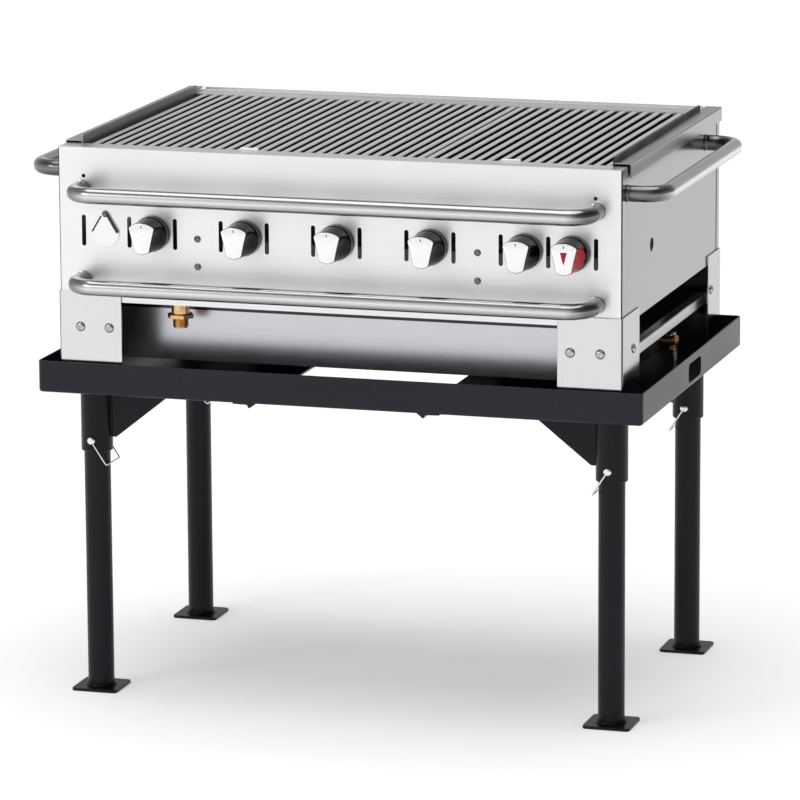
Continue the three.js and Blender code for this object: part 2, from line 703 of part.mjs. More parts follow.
// Hexagonal union nut and threaded nipple that the supply hose screws on to.
function gasInlet() {
  const across = INLET_NUT_ACROSS / 2 / Math.cos(Math.PI / 6);
  const [nutBottom, nutTop] = INLET_NUT_Z;
  const roundPart = (radius, low, high) => rodZ(INLET_X, MANIFOLD_Y, radius, low, high);
  const neck = roundPart(INLET_NECK_RADIUS, nutTop - 1, INLET_PIPE_BOTTOM_Z - GAP);
  const nut = rodZ(INLET_X, MANIFOLD_Y, across, nutBottom, nutTop, 6);
  const nipple = roundPart(INLET_NIPPLE_RADIUS, INLET_BOTTOM_Z, nutBottom + 1);
  const bore = roundPart(INLET_BORE_RADIUS, INLET_BOTTOM_Z - 1, nutTop);
  return joinAll([neck, nut, nipple]).subtract(bore);
}

const valveStem = (x) => rodY(x, KNOB_Z, STEM_RADIUS, STEM_FRONT_Y, STEM_BACK_Y, 8);

// Round skirt with a shield-shaped grip in front of it, bored for the stem.
function knob(x) {
  const shield = KNOB_GRIP.map(([across, up]) => [x + across, KNOB_Z + up]);
  const grip = prismY(polygon(shield), KNOB_FACE_Y, KNOB_SKIRT_FRONT_Y + 1);
  const skirt = rodY(x, KNOB_Z, KNOB_SKIRT_RADIUS, KNOB_SKIRT_FRONT_Y, KNOB_BACK_Y, 20);
  const bore = rodY(x, KNOB_Z, KNOB_BORE_RADIUS, STEM_FRONT_Y - GAP, KNOB_BACK_Y + 1, 8);
  return skirt.add(grip).subtract(bore);
}

// Teardrop cover over the match-lighting hole, hung from the screw at its top.
function matchFlap() {
  const lean = Math.acos((FLAP_DISC_RADIUS - FLAP_PIVOT_RADIUS) / (FLAP_PIVOT_Z - FLAP_DISC_Z));
  const up = Math.PI / 2;
  const shape = new THREE.Shape();
  shape.absarc(FLAP_X, FLAP_PIVOT_Z, FLAP_PIVOT_RADIUS, up - lean, up + lean);
  shape.absarc(FLAP_X, FLAP_DISC_Z, FLAP_DISC_RADIUS, up + lean, up - lean + FULL_TURN);
  shape.closePath();
  return prismY(shape, FLAP_FRONT_Y, FLAP_BACK_Y, 8);
}

// ---- Inside the body ----------------------------------------------------------------------

// Sheet between the controls and the fire, with a hole for each burner's neck.
function frontBaffle() {
  const sheet = block([-BAFFLE_HALF_WIDTH, BAFFLE_HALF_WIDTH], [BAFFLE_Y, BAFFLE_Y + SHEET], [
    BAFFLE_BOTTOM_Z,
    BAFFLE_TOP_Z,
  ]);
  const holes = knobXs.map((x) =>
    rodY(x, BURNER_Z, BURNER_NECK_RADIUS + 3, BAFFLE_Y - 1, BAFFLE_Y + SHEET + 1, 10),
  );
  return cutAll(sheet, holes);
}

// Tube burner, open at its neck and closed at the back.
function burner(x) {
  const [outer, neck, wall] = [BURNER_RADIUS, BURNER_NECK_RADIUS, BURNER_WALL];
  const neckEnd = BURNER_FRONT_Y + BURNER_NECK_LENGTH;
  const shoulder = neckEnd + BURNER_SHOULDER_LENGTH;
  return turnedY(
    [
      [neck - wall, BURNER_FRONT_Y],
      [neck, BURNER_FRONT_Y],
      [neck, neckEnd],
      [outer, shoulder],
      [outer, BURNER_BACK_Y],
      [0, BURNER_BACK_Y],
      [0, BURNER_BACK_Y - wall],
      [outer - wall, BURNER_BACK_Y - wall],
      [outer - wall, shoulder],
      [neck - wall, neckEnd],
      [neck - wall, BURNER_FRONT_Y],
    ],
    x,
    BURNER_Z,
    10,
  );
}

// Folded radiants over the burners, joined by a strip at the front and one at the back.
function radiantRack() {
  const edgeZ = RADIANT_TOP_Z - RADIANT_HEIGHT;
  const tents = knobXs.map((x) =>
    prismY(
      polygon([
        [x - RADIANT_HALF_WIDTH, edgeZ],
        [x, RADIANT_TOP_Z - RADIANT_SHEET],
        [x + RADIANT_HALF_WIDTH, edgeZ],
        [x + RADIANT_HALF_WIDTH, edgeZ + RADIANT_SHEET],
        [x, RADIANT_TOP_Z],
        [x - RADIANT_HALF_WIDTH, edgeZ + RADIANT_SHEET],
      ]),
      ...RADIANT_YS,
    ),
  );
  const endX = knobXs[BURNER_KNOB_COUNT - 1] + RADIANT_HALF_WIDTH + RADIANT_STRIP_OVERHANG;
  const strips = [RADIANT_YS[0], RADIANT_YS[1] - RADIANT_STRIP_DEPTH].map((y) =>
    block([-endX, endX], [y, y + RADIANT_STRIP_DEPTH], [edgeZ - 1, edgeZ + 1]),
  );
  return joinAll([...tents, ...strips]);
}

// Shallow water tub under the burners, hung by its rim from the two runners.
function waterTub() {
  const shell = block([-TUB_HALF_WIDTH, TUB_HALF_WIDTH], TUB_YS, [TUB_BOTTOM_Z, TUB_RIM_Z]);
  const rim = block([-TUB_RIM_HALF_WIDTH, TUB_RIM_HALF_WIDTH], TUB_YS, [TUB_RIM_Z - SHEET, TUB_RIM_Z]);
  const inner = block(
    [-TUB_HALF_WIDTH + SHEET, TUB_HALF_WIDTH - SHEET],
    [TUB_YS[0] + SHEET, TUB_YS[1] - SHEET],
    [TUB_BOTTOM_Z + SHEET, TUB_RIM_Z + 1],
  );
  const wallXs = [TUB_HALF_WIDTH - 2 * SHEET, TUB_HALF_WIDTH + SHEET];
  const drainHole = rodX(DRAIN_Y, DRAIN_Z, DRAIN_HOLE_RADIUS, ...wallXs, 12);
  return shell.add(rim).subtract(inner).subtract(drainHole);
}

const tubRunner = () => block(RUNNER_X, RUNNER_YS, RUNNER_ZS);

// Brass drain valve: body along X with a spout that points down.
function drainValve() {
  const body = rodX(DRAIN_Y, DRAIN_Z, DRAIN_RADIUS, TUB_HALF_WIDTH + GAP, DRAIN_OUTER_X, 12);
  const mouth = DRAIN_Z - DRAIN_SPOUT_DROP;
  const spout = rodZ(DRAIN_SPOUT_X, DRAIN_Y, DRAIN_SPOUT_RADIUS, mouth, DRAIN_Z, 10);
  const boreTop = DRAIN_Z - DRAIN_SPOUT_RADIUS;
  const bore = rodZ(DRAIN_SPOUT_X, DRAIN_Y, DRAIN_SPOUT_BORE, mouth - 1, boreTop, 8);
  return body.add(spout).subtract(bore);
}

// Flat lever on top of the drain valve, with a short round boss on the valve's axis.
function drainLever() {
  const bottom = DRAIN_Z + DRAIN_RADIUS + GAP;
  const top = bottom + LEVER_BOSS_HEIGHT;
  const boss = rodZ(DRAIN_SPOUT_X, DRAIN_Y, LEVER_BOSS_RADIUS, bottom, top, 12);
  const armXs = [DRAIN_SPOUT_X - LEVER_HALF_WIDTH, DRAIN_SPOUT_X + LEVER_HALF_WIDTH];
  const arm = block(armXs, [DRAIN_Y - LEVER_LENGTH, DRAIN_Y], [top - LEVER_THICKNESS, top]);
  return boss.add(arm);
}

// ---- Assembly -----------------------------------------------------------------------------

addPart("stand_tray", standTray(), powderCoat);
for (const { name, sx, sy } of CORNERS) {
  addPart(`leg_socket_${name}`, legSocket(sx, sy), powderCoat);
  addPart(`leg_${name}`, leg(sx, sy), powderCoat);
  addPart(`lock_pin_${name}`, lockPin(sx, sy), zincPlate);
  addPart(`wire_bail_${name}`, wireBail(sx, sy), zincPlate);
  addPart(`corner_bracket_${name}`, cornerBracket(sx, sy), stainless);
}
addPart("front_panel", frontPanel(), stainless);
addPart("back_panel", backPanel(), stainless);
addMirroredPair("side_panel", sidePanel(), stainless);
addMirroredPair("side_rail", sideRail(), stainless);
for (const [name, z] of Object.entries(FRONT_HANDLE_ZS)) {
  addPart(name, frontHandle(z), stainlessTube);
}
addMirroredPair("side_handle", sideHandle(), stainlessTube);
for (const [name, layout] of Object.entries(GRATES)) {
  addPart(name, grate(layout), grateSteel);
}
addPart("gas_manifold", gasManifold(), blackIron);
addPart("gas_inlet", gasInlet(), brass);
knobXs.forEach((x, i) => {
  addPart(`valve_stem_${i + 1}`, valveStem(x), zincPlate);
  addPart(`burner_knob_${i + 1}`, knob(x), bakelite);
  addPart(`burner_${i + 1}`, burner(x), blackIron);
});
addPart("main_valve_stem", valveStem(MAIN_KNOB_X), zincPlate);
addPart("main_valve_knob", knob(MAIN_KNOB_X), redPlastic);
addPart("match_flap", matchFlap(), stainless);
addPart("front_baffle", frontBaffle(), stainless);
addPart("radiant_rack", radiantRack(), blackIron);
addPart("water_tub", waterTub(), stainless);
addMirroredPair("tub_runner", tubRunner(), stainless);
addPart("drain_valve", drainValve(), brass);
addPart("drain_lever", drainLever(), brass);

export default charbroiler;
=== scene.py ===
import math

import bmesh
import bpy
from mathutils import Matrix, Vector


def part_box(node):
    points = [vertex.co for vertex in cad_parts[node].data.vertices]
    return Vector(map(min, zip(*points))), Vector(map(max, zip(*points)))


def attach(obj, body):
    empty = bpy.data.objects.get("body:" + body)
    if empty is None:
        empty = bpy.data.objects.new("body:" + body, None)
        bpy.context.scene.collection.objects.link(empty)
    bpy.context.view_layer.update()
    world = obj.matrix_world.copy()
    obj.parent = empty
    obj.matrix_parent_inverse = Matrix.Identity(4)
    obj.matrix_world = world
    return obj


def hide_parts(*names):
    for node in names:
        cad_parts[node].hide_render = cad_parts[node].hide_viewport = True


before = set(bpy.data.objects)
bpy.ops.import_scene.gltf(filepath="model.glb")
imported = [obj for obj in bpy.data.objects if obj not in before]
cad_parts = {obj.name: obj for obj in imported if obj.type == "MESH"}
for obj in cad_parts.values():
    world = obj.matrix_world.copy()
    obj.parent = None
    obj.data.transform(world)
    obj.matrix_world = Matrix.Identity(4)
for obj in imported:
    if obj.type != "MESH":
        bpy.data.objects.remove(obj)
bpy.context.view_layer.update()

# Shapes are drawn in millimetres, in the CAD's frame: X right, Y back, Z up. Places come from the
# CAD nodes' boxes wherever a node has them.
MM = 0.001


def box_mm(node):
    """Lowest and highest corner of a CAD node, in millimetres."""
    low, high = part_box(node)
    return low / MM, high / MM


def centre_mm(node):
    low, high = box_mm(node)
    return (low + high) / 2


# ---- Driving dimensions, in millimetres ----

SIDES = [("right", 1), ("left", -1)]
CORNERS = [("front_left", -1, -1), ("front_right", 1, -1), ("back_left", -1, 1), ("back_right", 1, 1)]
BURNERS = range(1, 6)

PANEL_LOW, PANEL_HIGH = box_mm("front_panel")
BACK_LOW, BACK_HIGH = box_mm("back_panel")
HALF_WIDTH = PANEL_HIGH.x
FRONT_Y = PANEL_LOW.y
BACK_Y = BACK_HIGH.y
KNOB_Z = centre_mm("valve_stem_1").z
CUT_BEYOND = 5

SMALL_SIDES = 28
MIDDLE_SIDES = 36
LARGE_SIDES = 40
WELD_SIDES = 8
FINE_CHAMFER = 0.6
CHAMFER = 0.8
WIDE_CHAMFER = 1
# Weld beads round a tube: (bead's radius, gap from the tube, ripple, steps)
HANDLE_WELD = (0.8, 0.2, 0.12, 48)
LEG_WELD = (2.2, 0.6, 0.16, 60)
SOCKET_WELD = (2, 0.4, 0.16, 64)

SLOT_COUNT = 12
SLOT_PITCH = 75.77
SLOT_HALF = (3.45, 24.8)
SLOT_ROUND = 3.4
# Size and place of the near-black seam strips: painted shade and dark reflection at the panels' corners.
SEAM_WIDTH = 5
SEAM_WRAP = 0.9
SEAM_END_GAP = 0.6
SEAM_PROUD = 0.12
SEAM_BACK_INSET = 22.5
SEAM_BACK_GAPS = (15, 24)

TUBE_RADIUS = 12.7
HANDLE_BEND = 38
HANDLE_BEND_STEPS = 14
HANDLE_SIDES = 32
HANDLE_WELD_PLACE = 1.4

# How many bars each grate has, and the short bar that makes room for its lifting tab.
GRATES = {"grate_left": (30, 14), "grate_right": (16, 7)}
BAR_WIDTH = 10.5
BAR_HEIGHT = 14
BAR_TAPER = 1.6
BAR_ROUND = 2.2
BAR_BELOW = 1
CROSS_BAR_HALF = (4, 2.75)
CROSS_BAR_INSETS = (6.3, 7.3)
TAB_SLOT_DEPTH = 14
TAB_Y = (1, 7)
TAB_Z = (-6, 3)
# Heights over which the bars' sides turn near-black: soot and painted shade.
SOOT_AND_SHADE_Z = (889.7, 890.9)

RAIL_SHEET = 2
GUARD_X = (432, 435)
GUARD_OVERLAP = 0.5
RAIL_TOP_Z = 897
GUARD_BACK_GAP = 41.3
# (height, corner radius) at the guard's bottom and top
GUARD_ENDS = [(884, 0.5), (905, 4)]
RAIL_DROP = 23
RAIL_LIP_ROUND = 0.4
RAIL_FOLD = 3
RAIL_INNER_FOLD = 1.2

BRACKET_SHEET = 2.4
BRACKET_FOLD = 3.4
BOLT_RADIUS = 7
FRONT_BOLTS = (35.5, 83.4)
BOLT_HEIGHT = 104.5
SIDE_BOLT = 67
SIDE_BOLT_DROP = 1.5
SCREW_RADIUS = 4.8
SCREW_DOME = 0.5
SCREW_DOME_STEPS = 6
SCREW_RIM = 0.3
CROSS_ARM = 0.55
CROSS_SLIT = 0.12
CROSS_DEPTH = 0.55
SCREW_SHADOW_RIM = 0.8
SCREW_SHADOW_HEIGHT = 0.25
PANEL_SCREW_X = 228
PANEL_SCREW_ZS = (754.7, 710.5)

SKIRT_RADIUS = 28
KNOB_GRIP = [
    (-21.3, 17.5, 3), (0, 32.5, 34), (21.3, 17.5, 3),
    (12.2, -22.5, 4), (0, -26.5, 14), (-12.2, -22.5, 4),
]
KNOB_ROUND = 96
# (place from the back, roundness, scale): skirt, groove and shoulder, then the grip.
KNOB_PROFILE = [
    (0, 1, 0.97), (1.2, 1, 1), (6.5, 1, 1), (7.6, 1, 0.975), (8.2, 1, 0.93), (9.4, 1, 0.93),
    (10.2, 1, 0.965), (12.5, 0.96, 0.96), (16, 0.85, 0.965), (22, 0.6, 0.98), (30, 0.33, 0.99),
    (38, 0.12, 1), (44.2, 0.03, 1), (45.6, 0, 1), (46.4, 0, 0.985),
]
KNOB_BASE_RINGS = 9
# (place from the back, inset)
KNOB_FACE = [(45.6, 1.1), (46, 0.9), (46.5, 0.9), (46.8, 1.6), (47.1, 4.5), (47.35, 8.5), (47.5, 13)]
KNOB_CROWN_SLOPE = 0.8
MARK_PROUD = 0.12
MARK_DEPTH = 0.4
TICK = [(-0.7, 16.6, 0), (0.7, 16.6, 0), (0.7, 20.5, 0), (-0.7, 20.5, 0)]
TRIANGLE = [(-5.6, 10.5, 0.7), (5.6, 10.5, 0.7), (0, -10.5, 0.7)]

FLAP_SHEET = 1.5
FLAP_DISC_RADIUS = 23
FLAP_SHOULDER_RISE = 1.5
FLAP_PIVOT_RADIUS = 5.5
FLAP_NECK_HALF = 4
FLAP_NECK_RISE = 3.6
FLAP_TIP_HALF = 1.5
FLAP_ARC_STEPS = 40
FLAP_SCREW_RADIUS = 4.4
# (name, side, width, where it starts along the flap's side)
FLAP_FLANGES = [("right", 1, 4.6, 0.06), ("left", -1, 2.6, 0.2)]
FLAP_FLANGE_BACK = 1.2
FLAP_LEFT_DEPTH = 2.4

TRAY_WALL = 2.5
TRAY_CORNER = 8
TRAY_FOLD = 5
TRAY_FOLD_STEPS = 4
TRAY_EDGE = 0.6
TRAY_COVE = 1.5
TRAY_HEIGHT = 50.85
DECK_THICKNESS = 2.5
WINDOW_HALF = (131.5, 165)
WINDOW_FORWARD = 1.35
GRIP_HOLE_HALF = (41, 15.25)
GRIP_HOLE_CORNER = 9
GRIP_HOLE_Z = 522
GRIP_HOLE_Y = 41.75
STIFFENER_SECTION = [(132, 499, 0), (143, 490, 2), (146, 496.5, 1), (168, 497, 0.5), (171, 499, 0)]
STIFFENER_GAP = 3

LEG_RADIUS = 21.1
LEG_WALL = 3
LEG_WELD_RISE = 0.8
FOOT_THICKNESS = 4.8
FOOT_CORNER = 7
SOCKET_RADIUS = 25.4
SOCKET_BORE = 21.7
SOCKET_SIDES = 48
SOCKET_WELD_DROP = 1
GUSSET_THICKNESS = 5
GUSSET_REACH = 138.4
GUSSET_BOTTOM_Z = 415
GUSSET_FLAT = 33.4
GUSSET_OVERLAP = 2
GUSSET_WELD = 1.8
GUSSET_WELD_RIPPLE = 0.18
GUSSET_WELD_GAP = 0.4
# (depth in the socket's wall, bottom gap, top gap, steps) and (gap from the wall, end gap, drop, steps)
GUSSET_WELD_UP = (0.2, 2, 3, 40)
GUSSET_WELD_ALONG = (1, 2, 0.6, 50)
# (radius, distance from the pin's end)
PIN_HEAD = [(0, 0), (2.6, 0.2), (4.6, 0.9), (5.9, 2), (6.5, 3.4), (6.5, 5.3), (6, 6), (4, 6)]
PIN_TAIL = [(4, 1.4), (2.6, 0.2), (0, 0)]
PIN_HEAD_MIDDLE = 3
WIRE_RADIUS = 1.3
BAIL_DROP = 46
BAIL_END = 3
BAIL_SLOPE = math.radians(57)
BAIL_BEND = 4

# Place of the near-black strip on the baffle, painted shade under the panel's bottom edge.
SHADE_STRIP_Z = (623.5, 640)
SHADE_STRIP_INSET = 2
SHADE_STRIP_PROUD = (1, 0.1)
NUT_TOP = 626.5
NUT_BOTTOM = 620
NUT_RADIUS = 21.94
NECK_RADIUS = 11
NECK_OVERLAP = 0.4
# (radius, height above the nut's underside), (radius, share of the pitch), (radius, height above the end)
NIPPLE_NECK = [(0, 0.5), (11.2, 0.5), (11.2, -1.2)]
THREAD = [(12.3, 0.4), (12.3, 0.5), (11.4, 1)]
NIPPLE_END = [(11.4, 0.6), (10.7, 0), (8, 0), (8, 9), (0, 9)]
THREAD_PITCH = 1.8
THREAD_END_GAP = 0.8
SLEEVE_RADII = (13.5, 14.6)
SLEEVE_RISE = 12
SLEEVE_GAP = 0.1

DRAIN_SPOUT_X = 445
DRAIN_AXIS_DROP = 9
# (radius, distance from the valve's inner end), then (radius, distance from its outer end)
DRAIN_INNER = [(0, 0), (6.4, 0), (6.4, 4), (8.4, 5), (9, 6.5)]
DRAIN_OUTER = [(9, 3.4), (8.2, 1.6), (6.6, 0.5), (3, 0), (0, 0)]
# (radius, height above the spout's mouth)
SPOUT_MOUTH = [(0, 8), (4, 8), (4, 0), (5.5, 0), (6, 0.5), (6, 2.4), (6.7, 3.4), (6.7, 6), (6, 7)]
SPOUT_TOP = [(6, 0), (0, 0)]
BOSS_RADIUS = 4.5
ARM_HALF = (3, 12.5)
ARM_CORNER = 2.9
ARM_DEPTHS = (2, 0.2)

LINK_HALF = (2.6, 1.5)
LINK_STEPS = 20
CHAIN_WIRE = 0.7
CHAIN_PITCH = 4.2
CHAIN_BOTTOM_Z = 507
CHAIN_START = (3, -9, 6)
CHAIN_SPREAD = 16
CHAIN_SWAY = 1.5
CHAIN_SAG = 0.7
CHAIN_STEPS = 40

# (radius, distance from the burner's mouth), then (radius, distance from its closed end)
BURNER_MOUTH = [(17, 50), (11, 30), (11, 0), (13, 0), (13, 30), (15, 36), (18.2, 44), (19, 50)]
BURNER_END = [(19, 2), (18, 0), (0, 0), (0, 2), (17, 2)]

# ---- Camera and studio ----

CAMERA_PLACE = (2.44547, -7.95742, 2.20558)
CAMERA_YAW, CAMERA_PITCH, CAMERA_ROLL = (math.radians(a) for a in (16.98, 11.89, -0.33))
CAMERA_LENS = 237.13
SENSOR_WIDTH = 36
CAMERA_FAR = 200

FLOOR_GLOW = 0.33
FLOOR_RADIUS = 60
FLOOR_DEPTH = 20
SKY_LIGHT = 1.45
SKY_SPREAD = math.radians(55)
# (axis, where the fade starts and ends along it, strength at its end)
WORLD_FADES = [("Z", 0.1, 0.7, 0.36), ("Y", 0.0, 0.85, 0.66), ("X", 0.15, 0.8, 0.28)]
# (name, place, what it points at, size, watts)
SOFTBOXES = [
    ("key", (-3.2, -4.5, 3.4), (0, 0, 0.6), (2.4, 2.0), 30),
    ("glint", (-3.0, -3.2, 3.2), (0, 0, 0.7), (0.7, 0.7), 8),
]

# ---- Edges and tones ----

SHARP_ANGLE = math.radians(38)
FLAT_ANGLE = math.radians(1)
MERGE_DISTANCE = 0.004 * MM
BEVEL_SEGMENTS = 2
# How far a face must look sideways to get the painted side shade, and an edge to get the painted dark
# reflection.
SHADED_SIDE_NORMAL = 0.75
DARK_EDGE_NORMAL = 0.25
BRUSH_CONTRAST = 0.03
# How dark the tubes' painted shade makes their underside, their top and their bends.
TUBE_UNDERSIDE_SHADE = 0.3
TUBE_TOPSIDE_SHADE = 0.6
TUBE_BEND_SHADE = 0.26


def make_camera():
    data = bpy.data.cameras.new("camera")
    data.lens = CAMERA_LENS
    data.sensor_width = SENSOR_WIDTH
    data.clip_end = CAMERA_FAR
    camera = new_object("camera", data)
    turn = Matrix.Rotation(CAMERA_YAW, 4, "Z") @ Matrix.Rotation(math.pi / 2 - CAMERA_PITCH, 4, "X")
    camera.matrix_world = Matrix.Translation(CAMERA_PLACE) @ turn @ Matrix.Rotation(CAMERA_ROLL, 4, "Z")
    bpy.context.scene.camera = camera


# ---- Shapes: each is (points, faces) ----


def placed(axis, u, v, along):
    """A point from its place (u, v) in a section and its place along the section's axis."""
    return {"X": (along, u, v), "Y": (u, along, v), "Z": (u, v, along)}[axis]


def ringed(rings, closed=False):
    """A skin over rings with the same number of points, capped at both ends unless closed."""
    size = len(rings[0])
    points = [point for ring in rings for point in ring]
    faces = []
    for i in range(len(rings) if closed else len(rings) - 1):
        here, there = i * size, (i + 1) % len(rings) * size
        for k in range(size):
            after = (k + 1) % size
            faces.append((here + k, here + after, there + after, there + k))
    if not closed:
        faces.append(tuple(range(size)))
        faces.append(tuple(range(len(points) - size, len(points))))
    return points, faces


def filleted(corners, steps=5):
    """A closed outline through (u, v, radius) corners, each rounded by an arc of its radius."""
    outline = []
    for i, (u, v, radius) in enumerate(corners):
        here = Vector((u, v))
        if radius <= 0:
            outline.append(here)
            continue
        before = (Vector(corners[i - 1][:2]) - here).normalized()
        after = (Vector(corners[(i + 1) % len(corners)][:2]) - here).normalized()
        half = before.angle(after) / 2
        centre = here + (before + after).normalized() * (radius / math.sin(half))
        start = here + before * (radius / math.tan(half)) - centre
        side = 1 if before.cross(after) < 0 else -1
        for k in range(steps + 1):
            outline.append(centre + Matrix.Rotation(side * (math.pi - 2 * half) * k / steps, 2) @ start)
    return outline


def rounded_rectangle(half_u, half_v, corner, u=0, v=0, steps=5):
    signs = [(1, 1), (-1, 1), (-1, -1), (1, -1)]
    return filleted([(u + su * half_u, v + sv * half_v, corner) for su, sv in signs], steps)


def prism(outline, low, high, axis):
    return ringed([[placed(axis, u, v, along) for u, v, *_ in outline] for along in (low, high)])


def block(low, high):
    """A box from its lowest and highest corner."""
    outline = [(low[0], low[1]), (high[0], low[1]), (high[0], high[1]), (low[0], high[1])]
    return prism(outline, low[2], high[2], "Z")


def circle(radius, sides, u=0, v=0):
    turns = [math.tau * k / sides for k in range(sides)]
    return [(u + radius * math.cos(a), v + radius * math.sin(a)) for a in turns]


def turned(profile, axis, centre, sides=32, closed=False):
    """A solid of revolution from (radius, along) points; centre is (u, v) in the section."""
    rings = [
        [placed(axis, u, v, along) for u, v in circle(radius, sides, *centre)] for radius, along in profile
    ]
    return ringed(rings, closed)


def profile_from_ends(low, low_points, high, high_points):
    """A (radius, along) profile from points measured up from its low end, then down from its high end."""
    return [(r, low + d) for r, d in low_points] + [(r, high - d) for r, d in high_points]


def rod_profile(radius, low, high, bore=0, foot=0, top=0):
    """A rod's profile, or a tube's if it has a bore, with chamfers at its low end and its top."""
    low_points = [(bore, 0), (radius - foot, 0), (radius, foot)]
    high_points = [(radius, top), (radius - top, 0), (bore, 0)]
    return list(dict.fromkeys(profile_from_ends(low, low_points, high, high_points)))


def swept(path, radius, sides=12, closed=False, ripple=0):
    """A round bar along a path. A ripple makes its radius swell and shrink, as a weld bead does."""
    path = [Vector(p) for p in path]
    count = len(path)
    rings = []
    across = None
    for i, point in enumerate(path):
        before = path[i - 1] if closed or i else point
        after = path[(i + 1) % count] if closed or i < count - 1 else point
        along = (after - before).normalized()
        if across is None:
            across = along.orthogonal()
        across = (across - along * across.dot(along)).normalized()
        up = along.cross(across)
        size = radius * (1 + ripple * (i % 2))
        turns = [math.tau * k / sides for k in range(sides)]
        rings.append([point + (across * math.cos(a) + up * math.sin(a)) * size for a in turns])
    return ringed(rings, closed)


def bent_path(corners, bend, steps=10):
    """Straight runs between corners, with an arc at each inner corner."""
    corners = [Vector(c) for c in corners]
    path = [corners[0]]
    for before, here, after in zip(corners, corners[1:], corners[2:]):
        back, forth = (before - here).normalized(), (after - here).normalized()
        half = back.angle(forth) / 2
        centre = here + (back + forth).normalized() * (bend / math.sin(half))
        start = here + back * (bend / math.tan(half)) - centre
        axis = back.cross(forth).normalized()
        for k in range(steps + 1):
            path.append(centre + Matrix.Rotation(-(math.pi - 2 * half) * k / steps, 3, axis) @ start)
    return path + [corners[-1]]


def straight_weld(start, end, steps):
    """A weld bead along a straight seam."""
    path = [Vector(start).lerp(Vector(end), k / (steps - 1)) for k in range(steps)]
    return swept(path, GUSSET_WELD, WELD_SIDES, ripple=GUSSET_WELD_RIPPLE)


def ring_weld(bead, centre, normal, across, tube_radius):
    """A weld bead round a tube, from one direction across it and all the way about the normal."""
    radius, gap, ripple, steps = bead
    spoke = Vector(across) * (tube_radius + gap)
    turns = [Matrix.Rotation(math.tau * k / steps, 3, normal) for k in range(steps)]
    return swept([Vector(centre) + turn @ spoke for turn in turns], radius, WELD_SIDES, True, ripple)


# ---- Pieces ----


def mesh_of(name, shapes):
    mesh = bpy.data.meshes.new(name)
    bm = bmesh.new()
    for points, faces in shapes:
        verts = [bm.verts.new(Vector(p) * MM) for p in points]
        for face in faces:
            bm.faces.new([verts[k] for k in face])
        bmesh.ops.remove_doubles(bm, verts=verts, dist=MERGE_DISTANCE)
    bmesh.ops.recalc_face_normals(bm, faces=bm.faces)
    bm.to_mesh(mesh)
    bm.free()
    return mesh


def new_object(name, data):
    made = bpy.data.objects.new(name, data)
    bpy.context.scene.collection.objects.link(made)
    return made


def settle(piece):
    """Makes what the piece's modifiers give its own mesh."""
    depsgraph = bpy.context.evaluated_depsgraph_get()
    mesh = bpy.data.meshes.new_from_object(piece.evaluated_get(depsgraph))
    piece.modifiers.clear()
    piece.data = mesh


def cut(piece, shapes):
    cutter = new_object("cutter", mesh_of("cutter", shapes))
    boolean = piece.modifiers.new("cut", "BOOLEAN")
    boolean.operation = "DIFFERENCE"
    boolean.solver = "EXACT"
    boolean.use_self = True
    boolean.object = cutter
    settle(piece)
    bpy.data.objects.remove(cutter)


def round_edges(piece, width):
    """Merges flat faces that lie in one plane, then rounds the edges between the others."""
    bm = bmesh.new()
    bm.from_mesh(piece.data)
    bmesh.ops.remove_doubles(bm, verts=bm.verts, dist=MERGE_DISTANCE)
    bmesh.ops.dissolve_limit(bm, angle_limit=FLAT_ANGLE, verts=bm.verts, edges=bm.edges)
    bm.to_mesh(piece.data)
    bm.free()
    bevel = piece.modifiers.new("edges", "BEVEL")
    bevel.width = width * MM
    bevel.segments = BEVEL_SEGMENTS
    bevel.limit_method = "ANGLE"
    bevel.angle_limit = SHARP_ANGLE
    bevel.use_clamp_overlap = True
    settle(piece)


def shade(piece):
    """Smooth curves, flat flats and crisp edges."""
    piece.data.shade_smooth()
    piece.data.set_sharp_from_angle(angle=SHARP_ANGLE)
    weighted = piece.modifiers.new("flat faces", "WEIGHTED_NORMAL")
    weighted.keep_sharp = True


def dress(piece, material, body, stands_for, cuts, edge):
    """Cuts a piece, rounds its edges, gives it its material and body, and hides the CAD nodes it stands for.
    """
    if cuts:
        cut(piece, cuts)
    if edge:
        round_edges(piece, edge)
    piece.data.materials.clear()
    piece.data.materials.append(material)
    shade(piece)
    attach(piece, body)
    if stands_for:
        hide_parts(*stands_for)
    return piece


def add_piece(name, shapes, material, body="root", stands_for=(), cuts=(), edge=0):
    piece = new_object(name, mesh_of(name, shapes))
    return dress(piece, material, body, stands_for, cuts, edge)


def add_refined(node, material, cuts=(), edge=0.4):
    """A piece with a CAD node's own shape and rounded edges."""
    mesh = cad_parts[node].data.copy()
    if "custom_normal" in mesh.attributes:
        mesh.attributes.remove(mesh.attributes["custom_normal"])
    return dress(new_object(node + "_finished", mesh), material, "root", [node], cuts, edge)


def paint_side_shade(piece, shaded_side_material):
    """Gives the faces that look left or right a darker copy of the steel, painted shade, and upright rounded
    edges a near-black one, a painted dark reflection.
    """
    piece.data.materials.append(shaded_side_material)
    piece.data.materials.append(DARK_EDGE_REFLECTION_STEEL)
    for polygon in piece.data.polygons:
        across, along = abs(polygon.normal.x), abs(polygon.normal.y)
        if min(across, along) > DARK_EDGE_NORMAL:
            polygon.material_index = 2
        elif across > SHADED_SIDE_NORMAL:
            polygon.material_index = 1


# ---- Materials ----


def add_node(tree, kind, inputs, **settings):
    """A shader node, each of its inputs linked to an output or set to a plain value."""
    made = tree.nodes.new(kind)
    for key, value in settings.items():
        setattr(made, key, value)
    for key, value in inputs.items():
        if isinstance(value, bpy.types.NodeSocket):
            tree.links.new(value, made.inputs[key])
        else:
            made.inputs[key].default_value = value
    return made


